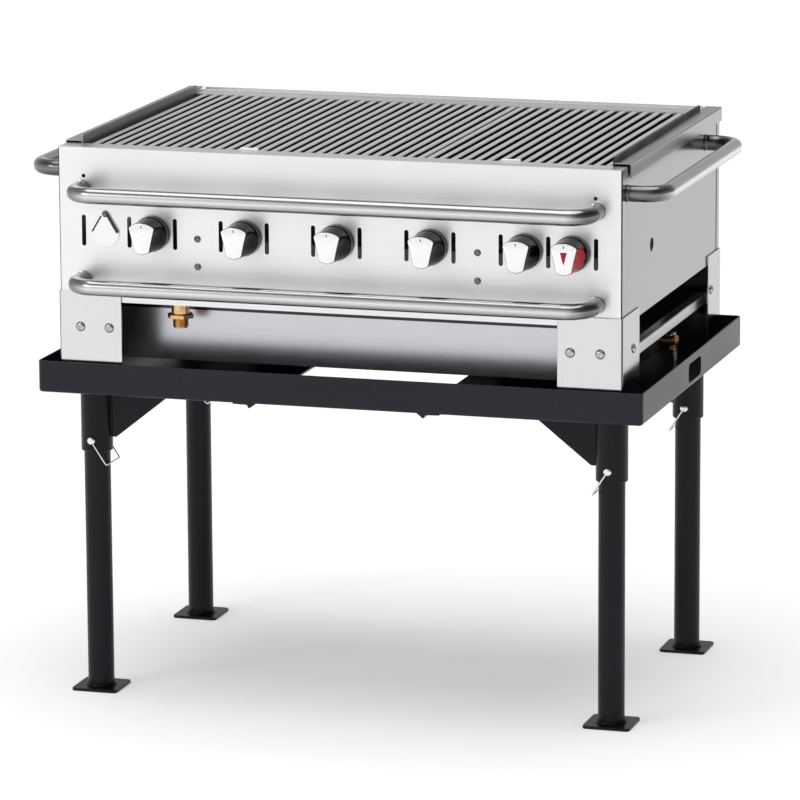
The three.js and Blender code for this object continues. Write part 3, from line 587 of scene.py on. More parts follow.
class Recipe:
    """A material under construction: its shader, and nodes that vary it over the piece."""

    def __init__(self, name, **constants):
        self.material = bpy.data.materials.new(name)
        self.material.use_nodes = True
        self.tree = self.material.node_tree
        self.shader = self.tree.nodes["Principled BSDF"]
        self.place = self.node("ShaderNodeTexCoord", {}, "Object")
        for socket, value in constants.items():
            self.shader.inputs[socket.replace("_", " ")].default_value = value

    def node(self, kind, inputs, output=0, **settings):
        return add_node(self.tree, kind, inputs, **settings).outputs[output]

    def noise(self, scale, detail=3, roughness=0.5, offset=0):
        mapping = {"Vector": self.place, "Scale": scale, "Location": (offset, offset, offset)}
        stretched = self.node("ShaderNodeMapping", mapping)
        inputs = {"Vector": stretched, "Scale": 1, "Detail": detail, "Roughness": roughness}
        return self.node("ShaderNodeTexNoise", inputs)

    def ranged(self, value, low, high, start=0.3, end=0.7):
        inputs = {"Value": value, "From Min": start, "From Max": end, "To Min": low, "To Max": high}
        return self.node("ShaderNodeMapRange", inputs)

    def math(self, operation, *values):
        return self.node("ShaderNodeMath", dict(enumerate(values)), operation=operation)

    def blend(self, factor, first, second):
        return self.node("ShaderNodeMix", {0: factor, 6: first, 7: second}, 2, data_type="RGBA")

    def bump(self, height, distance, strength=1.0, under=None):
        inputs = {"Height": height, "Distance": distance * MM, "Strength": strength}
        if under is not None:
            inputs["Normal"] = under
        return self.node("ShaderNodeBump", inputs)

    def finished(self, *values):
        """The material, once its colour, normal, roughness and tangent are linked."""
        for socket, value in zip(("Base Color", "Normal", "Roughness", "Tangent"), values):
            self.tree.links.new(value, self.shader.inputs[socket])
        return self.material


def grey(level, tint=(1, 1, 1)):
    return (level * tint[0], level * tint[1], level * tint[2], 1)


def steel(name, level, roughness, grain, tint=(1, 1, 1.01), streak=0.6):
    """Brushed stainless steel. The grain gives how quickly the brush marks change along X, Y and Z."""
    mix = Recipe(name, Metallic=1.0, Anisotropic=streak, Anisotropic_Rotation=0.25)
    tangent = mix.node("ShaderNodeTangent", {}, direction_type="RADIAL", axis="Z")
    marks = mix.noise(grain, detail=4, roughness=0.65)
    fine = mix.noise([g * 4 for g in grain], detail=2, offset=3)
    clouds = mix.noise((5, 5, 5), offset=7)
    smudges = mix.noise((23, 23, 31), detail=5, roughness=0.6, offset=11)
    dark, bright = grey(level * (1 - BRUSH_CONTRAST), tint), grey(level * (1 + BRUSH_CONTRAST / 2), tint)
    brushed = mix.blend(mix.ranged(marks, 0, 1), dark, bright)
    toned = mix.blend(mix.ranged(clouds, 0, 0.35), brushed, grey(level * 0.93, tint))
    rubbed = mix.ranged(smudges, roughness * 0.97, roughness * 1.04)
    rough = mix.math("ADD", rubbed, mix.ranged(fine, -0.015, 0.015))
    normal = mix.bump(marks, 0.004, 0.3, mix.bump(fine, 0.001, 0.3))
    return mix.finished(toned, normal, rough, tangent)


def tube_steel(name, level, roughness, grain, end_axis):
    """Satin tube, painted darker on its top, its underside and its bends: painted shade round a painted
    bright band.
    """
    mix = Recipe(name, Metallic=1.0)
    marks = mix.noise(grain, detail=4, roughness=0.6)
    haze = mix.noise((9, 9, 30), detail=4, offset=5)
    facing = {0: mix.node("ShaderNodeTexCoord", {}, "Normal")}
    upward = mix.node("ShaderNodeSeparateXYZ", facing, "Z")
    endward = mix.math("ABSOLUTE", mix.node("ShaderNodeSeparateXYZ", facing, end_axis))
    # Painted shade by which way the surface faces: darker facing down (under), facing up (over) and at the
    # bends.
    under = mix.ranged(upward, TUBE_UNDERSIDE_SHADE, 1, -0.72, -0.05)
    over = mix.ranged(upward, 1, TUBE_TOPSIDE_SHADE, 0.0, 0.55)
    bends = mix.ranged(endward, 1, TUBE_BEND_SHADE, 0.12, 0.7)
    painted_light_band = mix.math("MULTIPLY", mix.math("MULTIPLY", under, over), bends)
    worn = mix.blend(mix.ranged(marks, 0, 1), grey(level * 0.96), grey(level))
    shaded_tone = mix.blend(painted_light_band, grey(0), worn)
    toned = mix.blend(mix.ranged(haze, 0, 0.12), shaded_tone, grey(level * 0.5))
    rough = mix.ranged(haze, roughness * 0.9, roughness * 1.1)
    return mix.finished(toned, mix.bump(marks, 0.003, 0.3), rough)


def smoked_steel(name, level):
    """Steel browned by smoke and heat, for the guards beside the grates."""
    mix = Recipe(name, Metallic=0.8, Specular_IOR_Level=0.2)
    marks = mix.noise((300, 8, 300), detail=4, roughness=0.65)
    soot = mix.noise((16, 9, 60), detail=5, roughness=0.6, offset=4)
    base = mix.blend(mix.ranged(marks, 0, 1), grey(level * 0.85), grey(level))
    smoked = mix.blend(mix.ranged(soot, 0, 0.5), base, grey(level * 0.5, (1, 0.95, 0.9)))
    return mix.finished(smoked, mix.bump(marks, 0.01, 0.3), mix.ranged(soot, 0.35, 0.5))


def grate_steel():
    """Satin bars, bright where food slides over them, painted near-black down their sides: soot and painted
    shade between the bars.
    """
    mix = Recipe("grate_steel", Metallic=0.9)
    marks = mix.noise((500, 9, 500), detail=4, roughness=0.65)
    burnt = mix.noise((60, 14, 120), detail=5, roughness=0.65, offset=4)
    height = mix.node("ShaderNodeSeparateXYZ", {0: mix.place}, "Z")
    wavy = mix.math("ADD", height, mix.ranged(burnt, -0.0006, 0.0006))
    top = mix.blend(mix.ranged(marks, 0, 1), grey(0.78), grey(0.9))
    browned = mix.blend(mix.ranged(burnt, 0, 0.3, 0.5, 0.8), top, (0.5, 0.47, 0.44, 1))
    # Near-black below this height: soot, and painted shade in the gaps between the bars.
    below = mix.ranged(wavy, 1, 0, SOOT_AND_SHADE_Z[0] * MM, SOOT_AND_SHADE_Z[1] * MM)
    soot_and_shade = mix.blend(below, browned, (0.012, 0.012, 0.013, 1))
    return mix.finished(soot_and_shade, mix.bump(marks, 0.01, 0.3), mix.ranged(burnt, 0.3, 0.4))


def powder_coat(name, level, gloss):
    mix = Recipe(name, Metallic=0.0, Specular_IOR_Level=gloss)
    pores = mix.noise((900, 900, 900), detail=2)
    waves = mix.noise((240, 240, 240), detail=2, offset=5)
    clouds = mix.noise((4, 4, 6), offset=9)
    dust = mix.noise((60, 60, 90), detail=6, roughness=0.7, offset=2)
    bluish = (0.7, 0.8, 1.45)
    base = mix.blend(mix.ranged(clouds, 0, 1), grey(level * 0.8, bluish), grey(level * 1.2, bluish))
    dusty = mix.blend(mix.ranged(dust, 0, 0.1, 0.55, 0.8), base, (0.07, 0.07, 0.08, 1))
    normal = mix.bump(pores, 0.05, 0.35, mix.bump(waves, 0.09, 0.25))
    return mix.finished(dusty, normal, mix.ranged(clouds, 0.28, 0.36))


def gloss_plastic(name, deep, light):
    mix = Recipe(name, Metallic=0.0, Specular_IOR_Level=0.15)
    clouds = mix.noise((40, 40, 40))
    rub = mix.noise((300, 300, 120), detail=4, roughness=0.6, offset=4)
    base = mix.blend(mix.ranged(clouds, 0, 1), deep, light)
    return mix.finished(base, mix.bump(clouds, 0.04, 0.2), mix.ranged(rub, 0.1, 0.17))


def chrome(name, level, roughness):
    mix = Recipe(name, Metallic=1.0)
    haze = mix.noise((90, 90, 90), detail=4)
    marks = mix.noise((30, 30, 700), offset=6)
    base = mix.blend(mix.ranged(haze, 0, 1), grey(level), grey(level * 0.94))
    rough = mix.ranged(haze, roughness * 0.8, roughness * 1.3)
    return mix.finished(base, mix.bump(marks, 0.006, 0.2), rough)


def brass(name, bright_tone, dull_tone):
    mix = Recipe(name, Metallic=1.0)
    turning = mix.noise((60, 60, 1400))
    tarnish = mix.noise((120, 120, 120), detail=5, roughness=0.65, offset=8)
    bright = mix.blend(mix.ranged(turning, 0, 1), bright_tone, dull_tone)
    base = mix.blend(mix.ranged(tarnish, 0, 0.55, 0.5, 0.75), bright, (0.3, 0.15, 0.06, 1))
    return mix.finished(base, mix.bump(turning, 0.02, 0.3), mix.ranged(tarnish, 0.2, 0.42))


def dark_iron():
    mix = Recipe("dark_iron", Metallic=0.6)
    scale = mix.noise((180, 180, 180), detail=6, roughness=0.7)
    heat = mix.noise((14, 14, 14), offset=3)
    base = mix.blend(mix.ranged(scale, 0, 1), (0.03, 0.03, 0.032, 1), (0.07, 0.066, 0.062, 1))
    heated = mix.blend(mix.ranged(heat, 0, 0.5), base, (0.06, 0.045, 0.035, 1))
    return mix.finished(heated, mix.bump(scale, 0.25, 0.6), mix.ranged(scale, 0.5, 0.75))


def floor_paint():
    mix = Recipe("floor_paint", Roughness=0.8, Specular_IOR_Level=0.1, Emission_Color=(1, 1, 1, 1),
                    Emission_Strength=FLOOR_GLOW)
    clouds = mix.noise((0.7, 0.7, 0.7))
    grain = mix.noise((120, 120, 120), offset=2)
    base = mix.blend(mix.ranged(clouds, 0, 1), grey(0.86), grey(0.9))
    return mix.finished(base, mix.bump(grain, 0.1, 0.1))


# ---- Studio ----


def make_floor():
    mesh = mesh_of("floor", [prism(circle(FLOOR_RADIUS / MM, 64), -FLOOR_DEPTH, 0, "Z")])
    mesh.materials.append(floor_paint())
    new_object("floor", mesh)


def make_world():
    """A pale surround: bright at the horizon, dimmer overhead, to the back and to the right."""
    world = bpy.data.worlds.new("studio")
    bpy.context.scene.world = world
    world.use_nodes = True
    tree = world.node_tree
    direction = add_node(tree, "ShaderNodeTexCoord", {}).outputs["Generated"]
    split = add_node(tree, "ShaderNodeSeparateXYZ", {0: direction}).outputs
    strength = 1
    for axis, start, end, level in WORLD_FADES:
        inputs = {"Value": split[axis], "From Min": start, "From Max": end, "To Min": 1, "To Max": level}
        fade = add_node(tree, "ShaderNodeMapRange", inputs, interpolation_type="SMOOTHSTEP").outputs[0]
        strength = add_node(tree, "ShaderNodeMath", {0: strength, 1: fade}, operation="MULTIPLY").outputs[0]
    background = tree.nodes["Background"]
    background.inputs["Color"].default_value = (1, 1, 1, 1)
    tree.links.new(strength, background.inputs["Strength"])


def add_softbox(name, place, target, size, power):
    data = bpy.data.lights.new(name, "AREA")
    data.shape = "RECTANGLE"
    data.size, data.size_y = size
    data.energy = power
    lamp = new_object(name, data)
    lamp.location = place
    lamp.rotation_mode = "QUATERNION"
    lamp.rotation_quaternion = (Vector(target) - Vector(place)).to_track_quat("-Z", "Y")


def make_studio():
    bpy.context.scene.view_settings.view_transform = "Standard"
    make_world()
    make_floor()
    sky = bpy.data.lights.new("sky_light", "SUN")
    sky.energy = SKY_LIGHT
    sky.angle = SKY_SPREAD
    new_object("sky_light", sky)
    for softbox in SOFTBOXES:
        add_softbox(*softbox)


# ---- Body casing ----


def make_casing():
    # The side steel is a darker copy of the front's: painted shade on faces that look left or right, and on
    # the side panels.
    front_steel = steel("steel_front", 0.83, 0.32, (6, 300, 420))
    shaded_side_steel = steel("steel_side_shaded", 0.3, 0.16, (300, 6, 420))
    back_steel = steel("steel_back", 0.66, 0.26, (6, 300, 420))
    paint_side_shade(add_refined("front_panel", front_steel, cuts=slot_cutters(), edge=0.5), shaded_side_steel)
    paint_side_shade(add_refined("back_panel", back_steel, edge=0.5), shaded_side_steel)
    for side, sign in SIDES:
        add_refined("side_panel_" + side, shaded_side_steel, edge=0.5)
        make_rail(side, sign)
        make_seam_shades(side, sign)
        for number, z in enumerate(PANEL_SCREW_ZS):
            name = f"panel_screw_{side}_{number + 1}"
            add_screw(name, sign * PANEL_SCREW_X, FRONT_Y, z, SCREW_RADIUS, SCREW_STEEL)


def slot_cutters():
    """The front panel's slots, a little wider than in the CAD."""
    xs = [(i - (SLOT_COUNT - 1) / 2) * SLOT_PITCH for i in range(SLOT_COUNT)]
    outlines = [rounded_rectangle(*SLOT_HALF, SLOT_ROUND, x, KNOB_Z) for x in xs]
    return [prism(outline, FRONT_Y - CUT_BEYOND, FRONT_Y + CUT_BEYOND, "Y") for outline in outlines]


def make_seam_shades(side, sign):
    """Near-black strips where the side panel meets the front and back panels' returns: painted shade and dark
    reflection at the corners.
    """
    back_bottom, back_top = BACK_LOW.z + SEAM_BACK_GAPS[0], BACK_HIGH.z - SEAM_BACK_GAPS[1]
    spans = [
        ("front", FRONT_Y - SEAM_PROUD, PANEL_LOW.z + SEAM_END_GAP, PANEL_HIGH.z - SEAM_END_GAP),
        ("back", BACK_Y - SEAM_BACK_INSET, back_bottom, back_top),
    ]
    near, far = sorted((sign * (HALF_WIDTH - SEAM_WRAP), sign * (HALF_WIDTH + SEAM_PROUD)))
    for end, y, bottom, top in spans:
        strip = block((near, y, bottom), (far, y + SEAM_WIDTH, top))
        add_piece(f"seam_{end}_{side}", [strip], SEAM_SHADE_BLACK)


def make_rail(side, sign):
    """Folded rail: outer drop, flat flange, and an upstand folded back on itself beside the grates."""
    node = "side_rail_" + side
    low, high = box_mm(node)
    outer = high.x if sign > 0 else -low.x
    inner = GUARD_X[1] - GUARD_OVERLAP
    drop_z = RAIL_TOP_Z - RAIL_DROP
    under = RAIL_TOP_Z - RAIL_SHEET
    top_steel = steel("steel_rail_" + side, 0.35, 0.25, (300, 6, 300))
    section = [
        (outer - RAIL_SHEET, drop_z, RAIL_LIP_ROUND), (outer, drop_z, RAIL_LIP_ROUND),
        (outer, RAIL_TOP_Z, RAIL_FOLD), (inner, RAIL_TOP_Z, 0), (inner, under, 0),
        (outer - RAIL_SHEET, under, RAIL_INNER_FOLD),
    ]
    flange = prism([(sign * u, v) for u, v in filleted(section)], low.y, high.y, "Y")
    add_piece(node + "_flange", [flange], top_steel, stands_for=[node])
    back = high.y - GUARD_BACK_GAP
    (bottom, foot_round), (top, corner) = GUARD_ENDS
    outline = filleted([
        (low.y, bottom, foot_round), (back, bottom, foot_round), (back, top, corner), (low.y, top, corner),
    ])
    guard = prism(outline, *sorted(sign * x for x in GUARD_X), "X")
    add_piece(node + "_guard", [guard], GUARD_STEEL[side], edge=0.3)


def add_screw(name, x, y, z, radius, material, axis="Y", side=-1, body="root"):
    """A domed screw with a cross recess. Its head stands out towards the given side of the axis."""
    level, centre = (x, (y, z)) if axis == "X" else (y, (x, z))
    height = radius * SCREW_DOME
    turns = [math.pi / 2 * k / SCREW_DOME_STEPS for k in range(SCREW_DOME_STEPS + 1)]
    dome = [(radius * math.cos(a), SCREW_RIM + height * math.sin(a)) for a in turns]
    profile = [(r, level + side * rise) for r, rise in [(0, 0), (radius, 0)] + dome]
    head = turned(profile, axis, centre, SMALL_SIDES)
    arm, slit = radius * CROSS_ARM, radius * CROSS_SLIT
    cross = [(arm, slit), (slit, slit), (slit, arm)]
    for _ in range(3):
        cross += [(-v, u) for u, v in cross[-3:]]
    floor, above = height * (1 - CROSS_DEPTH) + SCREW_RIM, height + 1
    low, high = sorted((level + side * floor, level + side * above))
    recess = prism([(centre[0] + u, centre[1] + v) for u, v in cross], low, high, axis)
    add_piece(name, [head], material, body=body, cuts=[recess])
    # A thin near-black ring round the head: a painted contact shadow.
    low, high = sorted((level, level + side * SCREW_SHADOW_HEIGHT))
    rim = radius + SCREW_SHADOW_RIM
    shadow_ring = turned([(0, low), (rim, low), (rim, high), (0, high)], axis, centre, SMALL_SIDES)
    add_piece(name + "_shadow_ring", [shadow_ring], NEAR_BLACK_SHADE_STEEL, body=body)


# ---- Corner brackets ----


def make_brackets():
    # The bracket's side steel is a darker copy of its front steel: painted shade on the faces that look left
    # or right.
    shaded_side_steel = steel("steel_bracket_side_shaded", 0.46, 0.14, (400, 400, 6), streak=0)
    front_steel = steel("steel_bracket", 0.66, 0.14, (400, 400, 6), streak=0.3)
    for name, sx, sy in CORNERS:
        node = "corner_bracket_" + name
        low, high = box_mm(node)
        outer_x, end_x = (high.x, low.x) if sx > 0 else (low.x, high.x)
        outer_y, end_y = (high.y, low.y) if sy > 0 else (low.y, high.y)
        inner_x, inner_y = outer_x - sx * BRACKET_SHEET, outer_y - sy * BRACKET_SHEET
        section = [
            (end_x, outer_y, 0), (outer_x, outer_y, BRACKET_FOLD), (outer_x, end_y, 0),
            (inner_x, end_y, 0), (inner_x, inner_y, BRACKET_FOLD - BRACKET_SHEET), (end_x, inner_y, 0),
        ]
        angle = prism(filleted(section), low.z, high.z, "Z")
        folded = add_piece(node + "_angle", [angle], front_steel, stands_for=[node], edge=0.5)
        paint_side_shade(folded, shaded_side_steel)
        z = low.z + BOLT_HEIGHT
        for number, inset in enumerate(FRONT_BOLTS):
            bolt = f"bracket_bolt_{name}_{number + 1}"
            add_screw(bolt, outer_x - sx * inset, outer_y, z, BOLT_RADIUS, BOLT_STEEL, "Y", sy)
        add_screw(f"bracket_bolt_{name}_3", outer_x, outer_y - sy * SIDE_BOLT,
                  z - SIDE_BOLT_DROP, BOLT_RADIUS, BOLT_STEEL, "X", sx)


# ---- Handles ----


def make_handles():
    along_x = tube_steel("steel_tube_along_x", 0.72, 0.18, (4, 500, 500), "X")
    along_y = tube_steel("steel_tube_along_y", 0.78, 0.2, (500, 4, 500), "Y")
    for node in ("front_handle_upper", "front_handle_lower"):
        low, high = box_mm(node)
        x, z, near, far = high.x - TUBE_RADIUS, (low.z + high.z) / 2, high.y, low.y + TUBE_RADIUS
        make_handle(node, [(-x, near, z), (-x, far, z), (x, far, z), (x, near, z)], along_x)
    for side, sign in SIDES:
        low, high = box_mm("side_handle_" + side)
        near, far = (low.x, high.x - TUBE_RADIUS) if sign > 0 else (high.x, low.x + TUBE_RADIUS)
        z, y0, y1 = (low.z + high.z) / 2, low.y + TUBE_RADIUS, high.y - TUBE_RADIUS
        ends = [(near, y0, z), (far, y0, z), (far, y1, z), (near, y1, z)]
        make_handle("side_handle_" + side, ends, along_y)


def make_handle(node, corners, material):
    """A bent tube, with a weld bead round each end."""
    shapes = [swept(bent_path(corners, HANDLE_BEND, HANDLE_BEND_STEPS), TUBE_RADIUS, HANDLE_SIDES)]
    for end, inner in ((corners[0], corners[1]), (corners[-1], corners[-2])):
        outward = (Vector(inner) - Vector(end)).normalized()
        place, across = Vector(end) + outward * HANDLE_WELD_PLACE, outward.orthogonal().normalized()
        shapes.append(ring_weld(HANDLE_WELD, place, outward, across, TUBE_RADIUS))
    add_piece(node + "_tube", shapes, material, stands_for=[node])


# ---- Grates ----


def make_grates():
    bar_steel = grate_steel()
    tab_steel = steel("grate_tab_steel", 0.98, 0.4, (12, 400, 400), streak=0)
    for node, (count, tab_bar) in GRATES.items():
        low, high = box_mm(node)
        half = BAR_WIDTH / 2
        pitch = (high.x - low.x - BAR_WIDTH) / (count - 1)
        xs = [low.x + half + i * pitch for i in range(count)]
        starts = [low.y + TAB_SLOT_DEPTH if i == tab_bar else low.y for i in range(count)]
        shapes = [grate_bar(x, start, high.y, high.z - BAR_BELOW) for x, start in zip(xs, starts)]
        cross_ys = (low.y + CROSS_BAR_INSETS[0], (low.y + high.y) / 2, high.y - CROSS_BAR_INSETS[1])
        for y in cross_ys:
            section = rounded_rectangle(*CROSS_BAR_HALF, 1, y, low.z + CROSS_BAR_HALF[1], 3)
            shapes.append(prism(section, xs[0], xs[-1], "X"))
        add_piece(node + "_bars", shapes, bar_steel, node, [node])
        front, back = (low.y + y for y in TAB_Y)
        bottom, top = (high.z + z for z in TAB_Z)
        section = filleted([(front, bottom, 1), (back, bottom, 1), (back, top, 2), (front, top, 1)], 4)
        reach_in = half - 1
        tab = prism(section, xs[tab_bar - 1] + reach_in, xs[tab_bar + 1] - reach_in, "X")
        add_piece(node + "_lifting_tab", [tab], tab_steel, node)


def grate_bar(x, start, end, top):
    """One bar along Y, narrower at its bottom."""
    half, foot = BAR_WIDTH / 2, BAR_WIDTH / 2 - BAR_TAPER
    bottom = top - BAR_HEIGHT
    section = [
        (x - half, top, BAR_ROUND), (x - foot, bottom, 1),
        (x + foot, bottom, 1), (x + half, top, BAR_ROUND),
    ]
    return prism(filleted(section, 4), start, end, "Y")


# ---- Knobs ----


def reach(outline, angle):
    """How far the outline is from its origin at an angle."""
    ray = Vector((math.cos(angle), math.sin(angle)))
    best = 0
    for a, b in zip(outline, outline[1:] + outline[:1]):
        edge = b - a
        turn = ray.x * edge.y - ray.y * edge.x
        if abs(turn) < 1e-9:
            continue
        distance = (a.x * edge.y - a.y * edge.x) / turn
        along = (a.x * ray.y - a.y * ray.x) / turn
        if distance > 0 and -1e-6 <= along <= 1 + 1e-6:
            best = max(best, distance)
    return best


def knob_ring(x, y, roundness, scale=1.0, inset=0.0):
    """A ring between the grip's outline, at roundness 0, and the skirt's circle, at 1."""
    grip = filleted(KNOB_GRIP, 8)
    ring = []
    for angle in (math.tau * k / KNOB_ROUND for k in range(KNOB_ROUND)):
        radius = reach(grip, angle) * (1 - roundness) + SKIRT_RADIUS * roundness
        radius = radius * scale - inset
        ring.append((x + radius * math.cos(angle), y, KNOB_Z + radius * math.sin(angle)))
    return ring


def make_knob(node, body, material):
    """A knob: round base, black-crowned grip and chromed face with a tick mark."""
    x, back = centre_mm(node).x, box_mm(node)[1].y
    rings = [knob_ring(x, back - place, roundness, scale) for place, roundness, scale in KNOB_PROFILE]
    add_piece(node + "_base", [ringed(rings[:KNOB_BASE_RINGS])], KNOB_BLACK, body)
    grip = add_piece(node + "_grip", [ringed(rings[KNOB_BASE_RINGS - 1:])], material, body, [node])
    blacken_crown(grip, x)
    face_rings = [knob_ring(x, back - place, 0, 1, inset) for place, inset in KNOB_FACE]
    add_piece(node + "_face", [ringed(face_rings)], KNOB_CHROME, body)
    add_mark(node, "tick", TICK, MARK_PAINT, body)


def blacken_crown(grip, x):
    """The grip is black above its widest corners."""
    grip.data.materials.append(KNOB_BLACK)
    for polygon in grip.data.polygons:
        across, up = polygon.center.x / MM - x, polygon.center.z / MM - KNOB_Z
        if up > KNOB_CROWN_SLOPE * abs(across):
            polygon.material_index = 1


def add_mark(node, kind, corners, material, body):
    """A raised mark on a knob's face, from (across, up, radius) corners about the knob's middle."""
    x, face = centre_mm(node).x, box_mm(node)[0].y
    outline = filleted([(x + u, KNOB_Z + v, radius) for u, v, radius in corners], 3)
    mark = prism(outline, face - MARK_PROUD, face + MARK_DEPTH, "Y")
    add_piece(f"{node}_{kind}", [mark], material, body)


def make_knobs():
    for number in BURNERS:
        make_knob(f"burner_knob_{number}", f"knob_{number}", KNOB_BLACK)
    make_knob("main_valve_knob", "main_knob", KNOB_RED)
    add_mark("main_valve_knob", "triangle", TRIANGLE, KNOB_RED, "main_knob")


# ---- Match flap ----


def make_flap():
    """A teardrop plate on a pivot screw: half a disc under two straight sides, both of them flanged."""
    low, high = box_mm("match_flap")
    x, front, back = (low.x + high.x) / 2, low.y, high.y
    radius, disc_z, pivot_z = FLAP_DISC_RADIUS, low.z + FLAP_DISC_RADIUS, high.z - FLAP_PIVOT_RADIUS
    neck_z, shoulder_z = pivot_z + FLAP_NECK_RISE, disc_z + FLAP_SHOULDER_RISE
    outline = [(x - FLAP_NECK_HALF, neck_z), (x - FLAP_TIP_HALF, high.z), (x + FLAP_TIP_HALF, high.z),
               (x + FLAP_NECK_HALF, neck_z), (x + radius, shoulder_z)]
    turns = [-math.pi * k / FLAP_ARC_STEPS for k in range(FLAP_ARC_STEPS + 1)]
    outline += [(x + radius * math.cos(a), disc_z + radius * math.sin(a)) for a in turns]
    outline.append((x - radius, shoulder_z))
    plate = prism(outline, back - FLAP_SHEET, back, "Y")
    flap_steel = steel("steel_flap", 0.84, 0.22, (6, 300, 420))
    add_piece("match_flap_plate", [plate], flap_steel, body="flap", stands_for=["match_flap"], edge=0.4)
    # The flanges are near-black: painted shade in the gap along the flap's sides.
    for name, sign, width, start in FLAP_FLANGES:
        top = Vector((x + sign * FLAP_NECK_HALF, neck_z))
        bottom = Vector((x + sign * radius, shoulder_z))
        along = (bottom - top).normalized()
        inward = Vector((along.y, -along.x)) * (sign * width)
        first = top.lerp(bottom, start)
        edge_y = front if sign > 0 else back - FLAP_LEFT_DEPTH
        flange = prism([first, bottom, bottom + inward, first + inward], edge_y, back - FLAP_FLANGE_BACK, "Y")
        add_piece(f"match_flap_{name}_flange", [flange], NEAR_BLACK_SHADE_STEEL, body="flap", edge=0.45)
    add_screw("match_flap_screw", x, back - FLAP_SHEET, pivot_z, FLAP_SCREW_RADIUS, SCREW_STEEL, body="flap")


# ---- Stand ----


def make_tray():
    """A pan with a folded rim, a window in its deck, grip holes in its lips and two stiffeners below."""
    low, high = box_mm("stand_tray")
    half_x, half_y, mid_y = high.x, (high.y - low.y) / 2, (high.y + low.y) / 2
    low_z = high.z - TRAY_HEIGHT
    deck_top = low_z + DECK_THICKNESS
    turns = [math.pi / 2 * k / TRAY_FOLD_STEPS for k in range(TRAY_FOLD_STEPS + 1)]
    levels = [(TRAY_FOLD * (1 - math.sin(a)), low_z + TRAY_FOLD * (1 - math.cos(a))) for a in turns]
    levels += [(0, high.z - TRAY_EDGE), (TRAY_EDGE, high.z), (TRAY_WALL - TRAY_EDGE, high.z),
               (TRAY_WALL, high.z - TRAY_EDGE)]
    levels += [(TRAY_WALL + TRAY_COVE * (1 - math.cos(a)), deck_top + TRAY_COVE * (1 - math.sin(a)))
               for a in turns]
    rings = []
    for inset, z in levels:
        corner = max(TRAY_CORNER - inset, TRAY_COVE)
        outline = rounded_rectangle(half_x - inset, half_y - inset, corner, 0, mid_y, 6)
        rings.append([(u, v, z) for u, v in outline])
    window = rounded_rectangle(*WINDOW_HALF, TRAY_CORNER, 0, mid_y - WINDOW_FORWARD)
    grip = rounded_rectangle(*GRIP_HOLE_HALF, GRIP_HOLE_CORNER, GRIP_HOLE_Y, GRIP_HOLE_Z, 6)
    cutters = [
        prism(window, low_z - CUT_BEYOND, deck_top + CUT_BEYOND, "Z"),
        prism(grip, -half_x - CUT_BEYOND, half_x + CUT_BEYOND, "X"),
    ]
    add_piece("stand_tray_pan", [ringed(rings)], POWDER, "root", ["stand_tray"], cutters)
    for side, sign in SIDES:
        section = [(sign * u, v) for u, v in filleted(STIFFENER_SECTION, 3)]
        stiffener = prism(section, low.y + STIFFENER_GAP, high.y - STIFFENER_GAP, "Y")
        add_piece("deck_stiffener_" + side, [stiffener], POWDER)


def make_leg(name):
    """A tube welded to a square foot plate."""
    node = "leg_" + name
    low, high = box_mm(node)
    x, y = centre_mm(node).xy
    half_foot = (high.x - low.x) / 2
    wall = rod_profile(LEG_RADIUS, FOOT_THICKNESS - 1, high.z, LEG_RADIUS - LEG_WALL, top=WIDE_CHAMFER)
    tube = turned(wall, "Z", (x, y), LARGE_SIDES, closed=True)
    foot = prism(rounded_rectangle(half_foot, half_foot, FOOT_CORNER, x, y), 0, FOOT_THICKNESS, "Z")
    add_piece(node + "_foot", [foot], POWDER_LEGS_SHADED, edge=0.9)
    bead = ring_weld(LEG_WELD, (x, y, FOOT_THICKNESS + LEG_WELD_RISE), "Z", (1, 0, 0), LEG_RADIUS)
    add_piece(node + "_tube", [tube, bead], POWDER_LEGS_SHADED, stands_for=[node])


def make_socket(name, sx):
    """A sleeve under the deck, with a gusset towards the middle, both welded on."""
    node = "leg_socket_" + name
    low, high = box_mm(node)
    x, y = centre_mm("leg_" + name).xy
    top = high.z
    wall = rod_profile(SOCKET_RADIUS, low.z, top, SOCKET_BORE, foot=CHAMFER)
    sleeve = turned(wall, "Z", (x, y), SOCKET_SIDES, closed=True)

    def inward(distance):
        return x - sx * distance

    half = GUSSET_THICKNESS / 2
    root = inward(SOCKET_RADIUS - GUSSET_OVERLAP)
    outline = [(root, top), (inward(GUSSET_REACH), top), (inward(GUSSET_FLAT), GUSSET_BOTTOM_Z),
               (root, GUSSET_BOTTOM_Z)]
    gusset = prism(outline, y - half, y + half, "Y")
    add_piece(node + "_gusset", [gusset], POWDER_LEGS_SHADED, edge=0.8)
    shapes = [sleeve, ring_weld(SOCKET_WELD, (x, y, top - SOCKET_WELD_DROP), "Z", (1, 0, 0), SOCKET_RADIUS)]
    depth, low_gap, high_gap, up_steps = GUSSET_WELD_UP
    wall_gap, end_gap, drop, along_steps = GUSSET_WELD_ALONG
    wall_x, near = inward(SOCKET_RADIUS - depth), inward(SOCKET_RADIUS + wall_gap)
    far = inward(GUSSET_REACH - end_gap)
    for bead_y in (y - half - GUSSET_WELD_GAP, y + half + GUSSET_WELD_GAP):
        foot, head = (wall_x, bead_y, GUSSET_BOTTOM_Z + low_gap), (wall_x, bead_y, top - high_gap)
        shapes.append(straight_weld(foot, head, up_steps))
        shapes.append(straight_weld((near, bead_y, top - drop), (far, bead_y, top - drop), along_steps))
    add_piece(node + "_tube", shapes, POWDER_LEGS_SHADED, stands_for=[node])


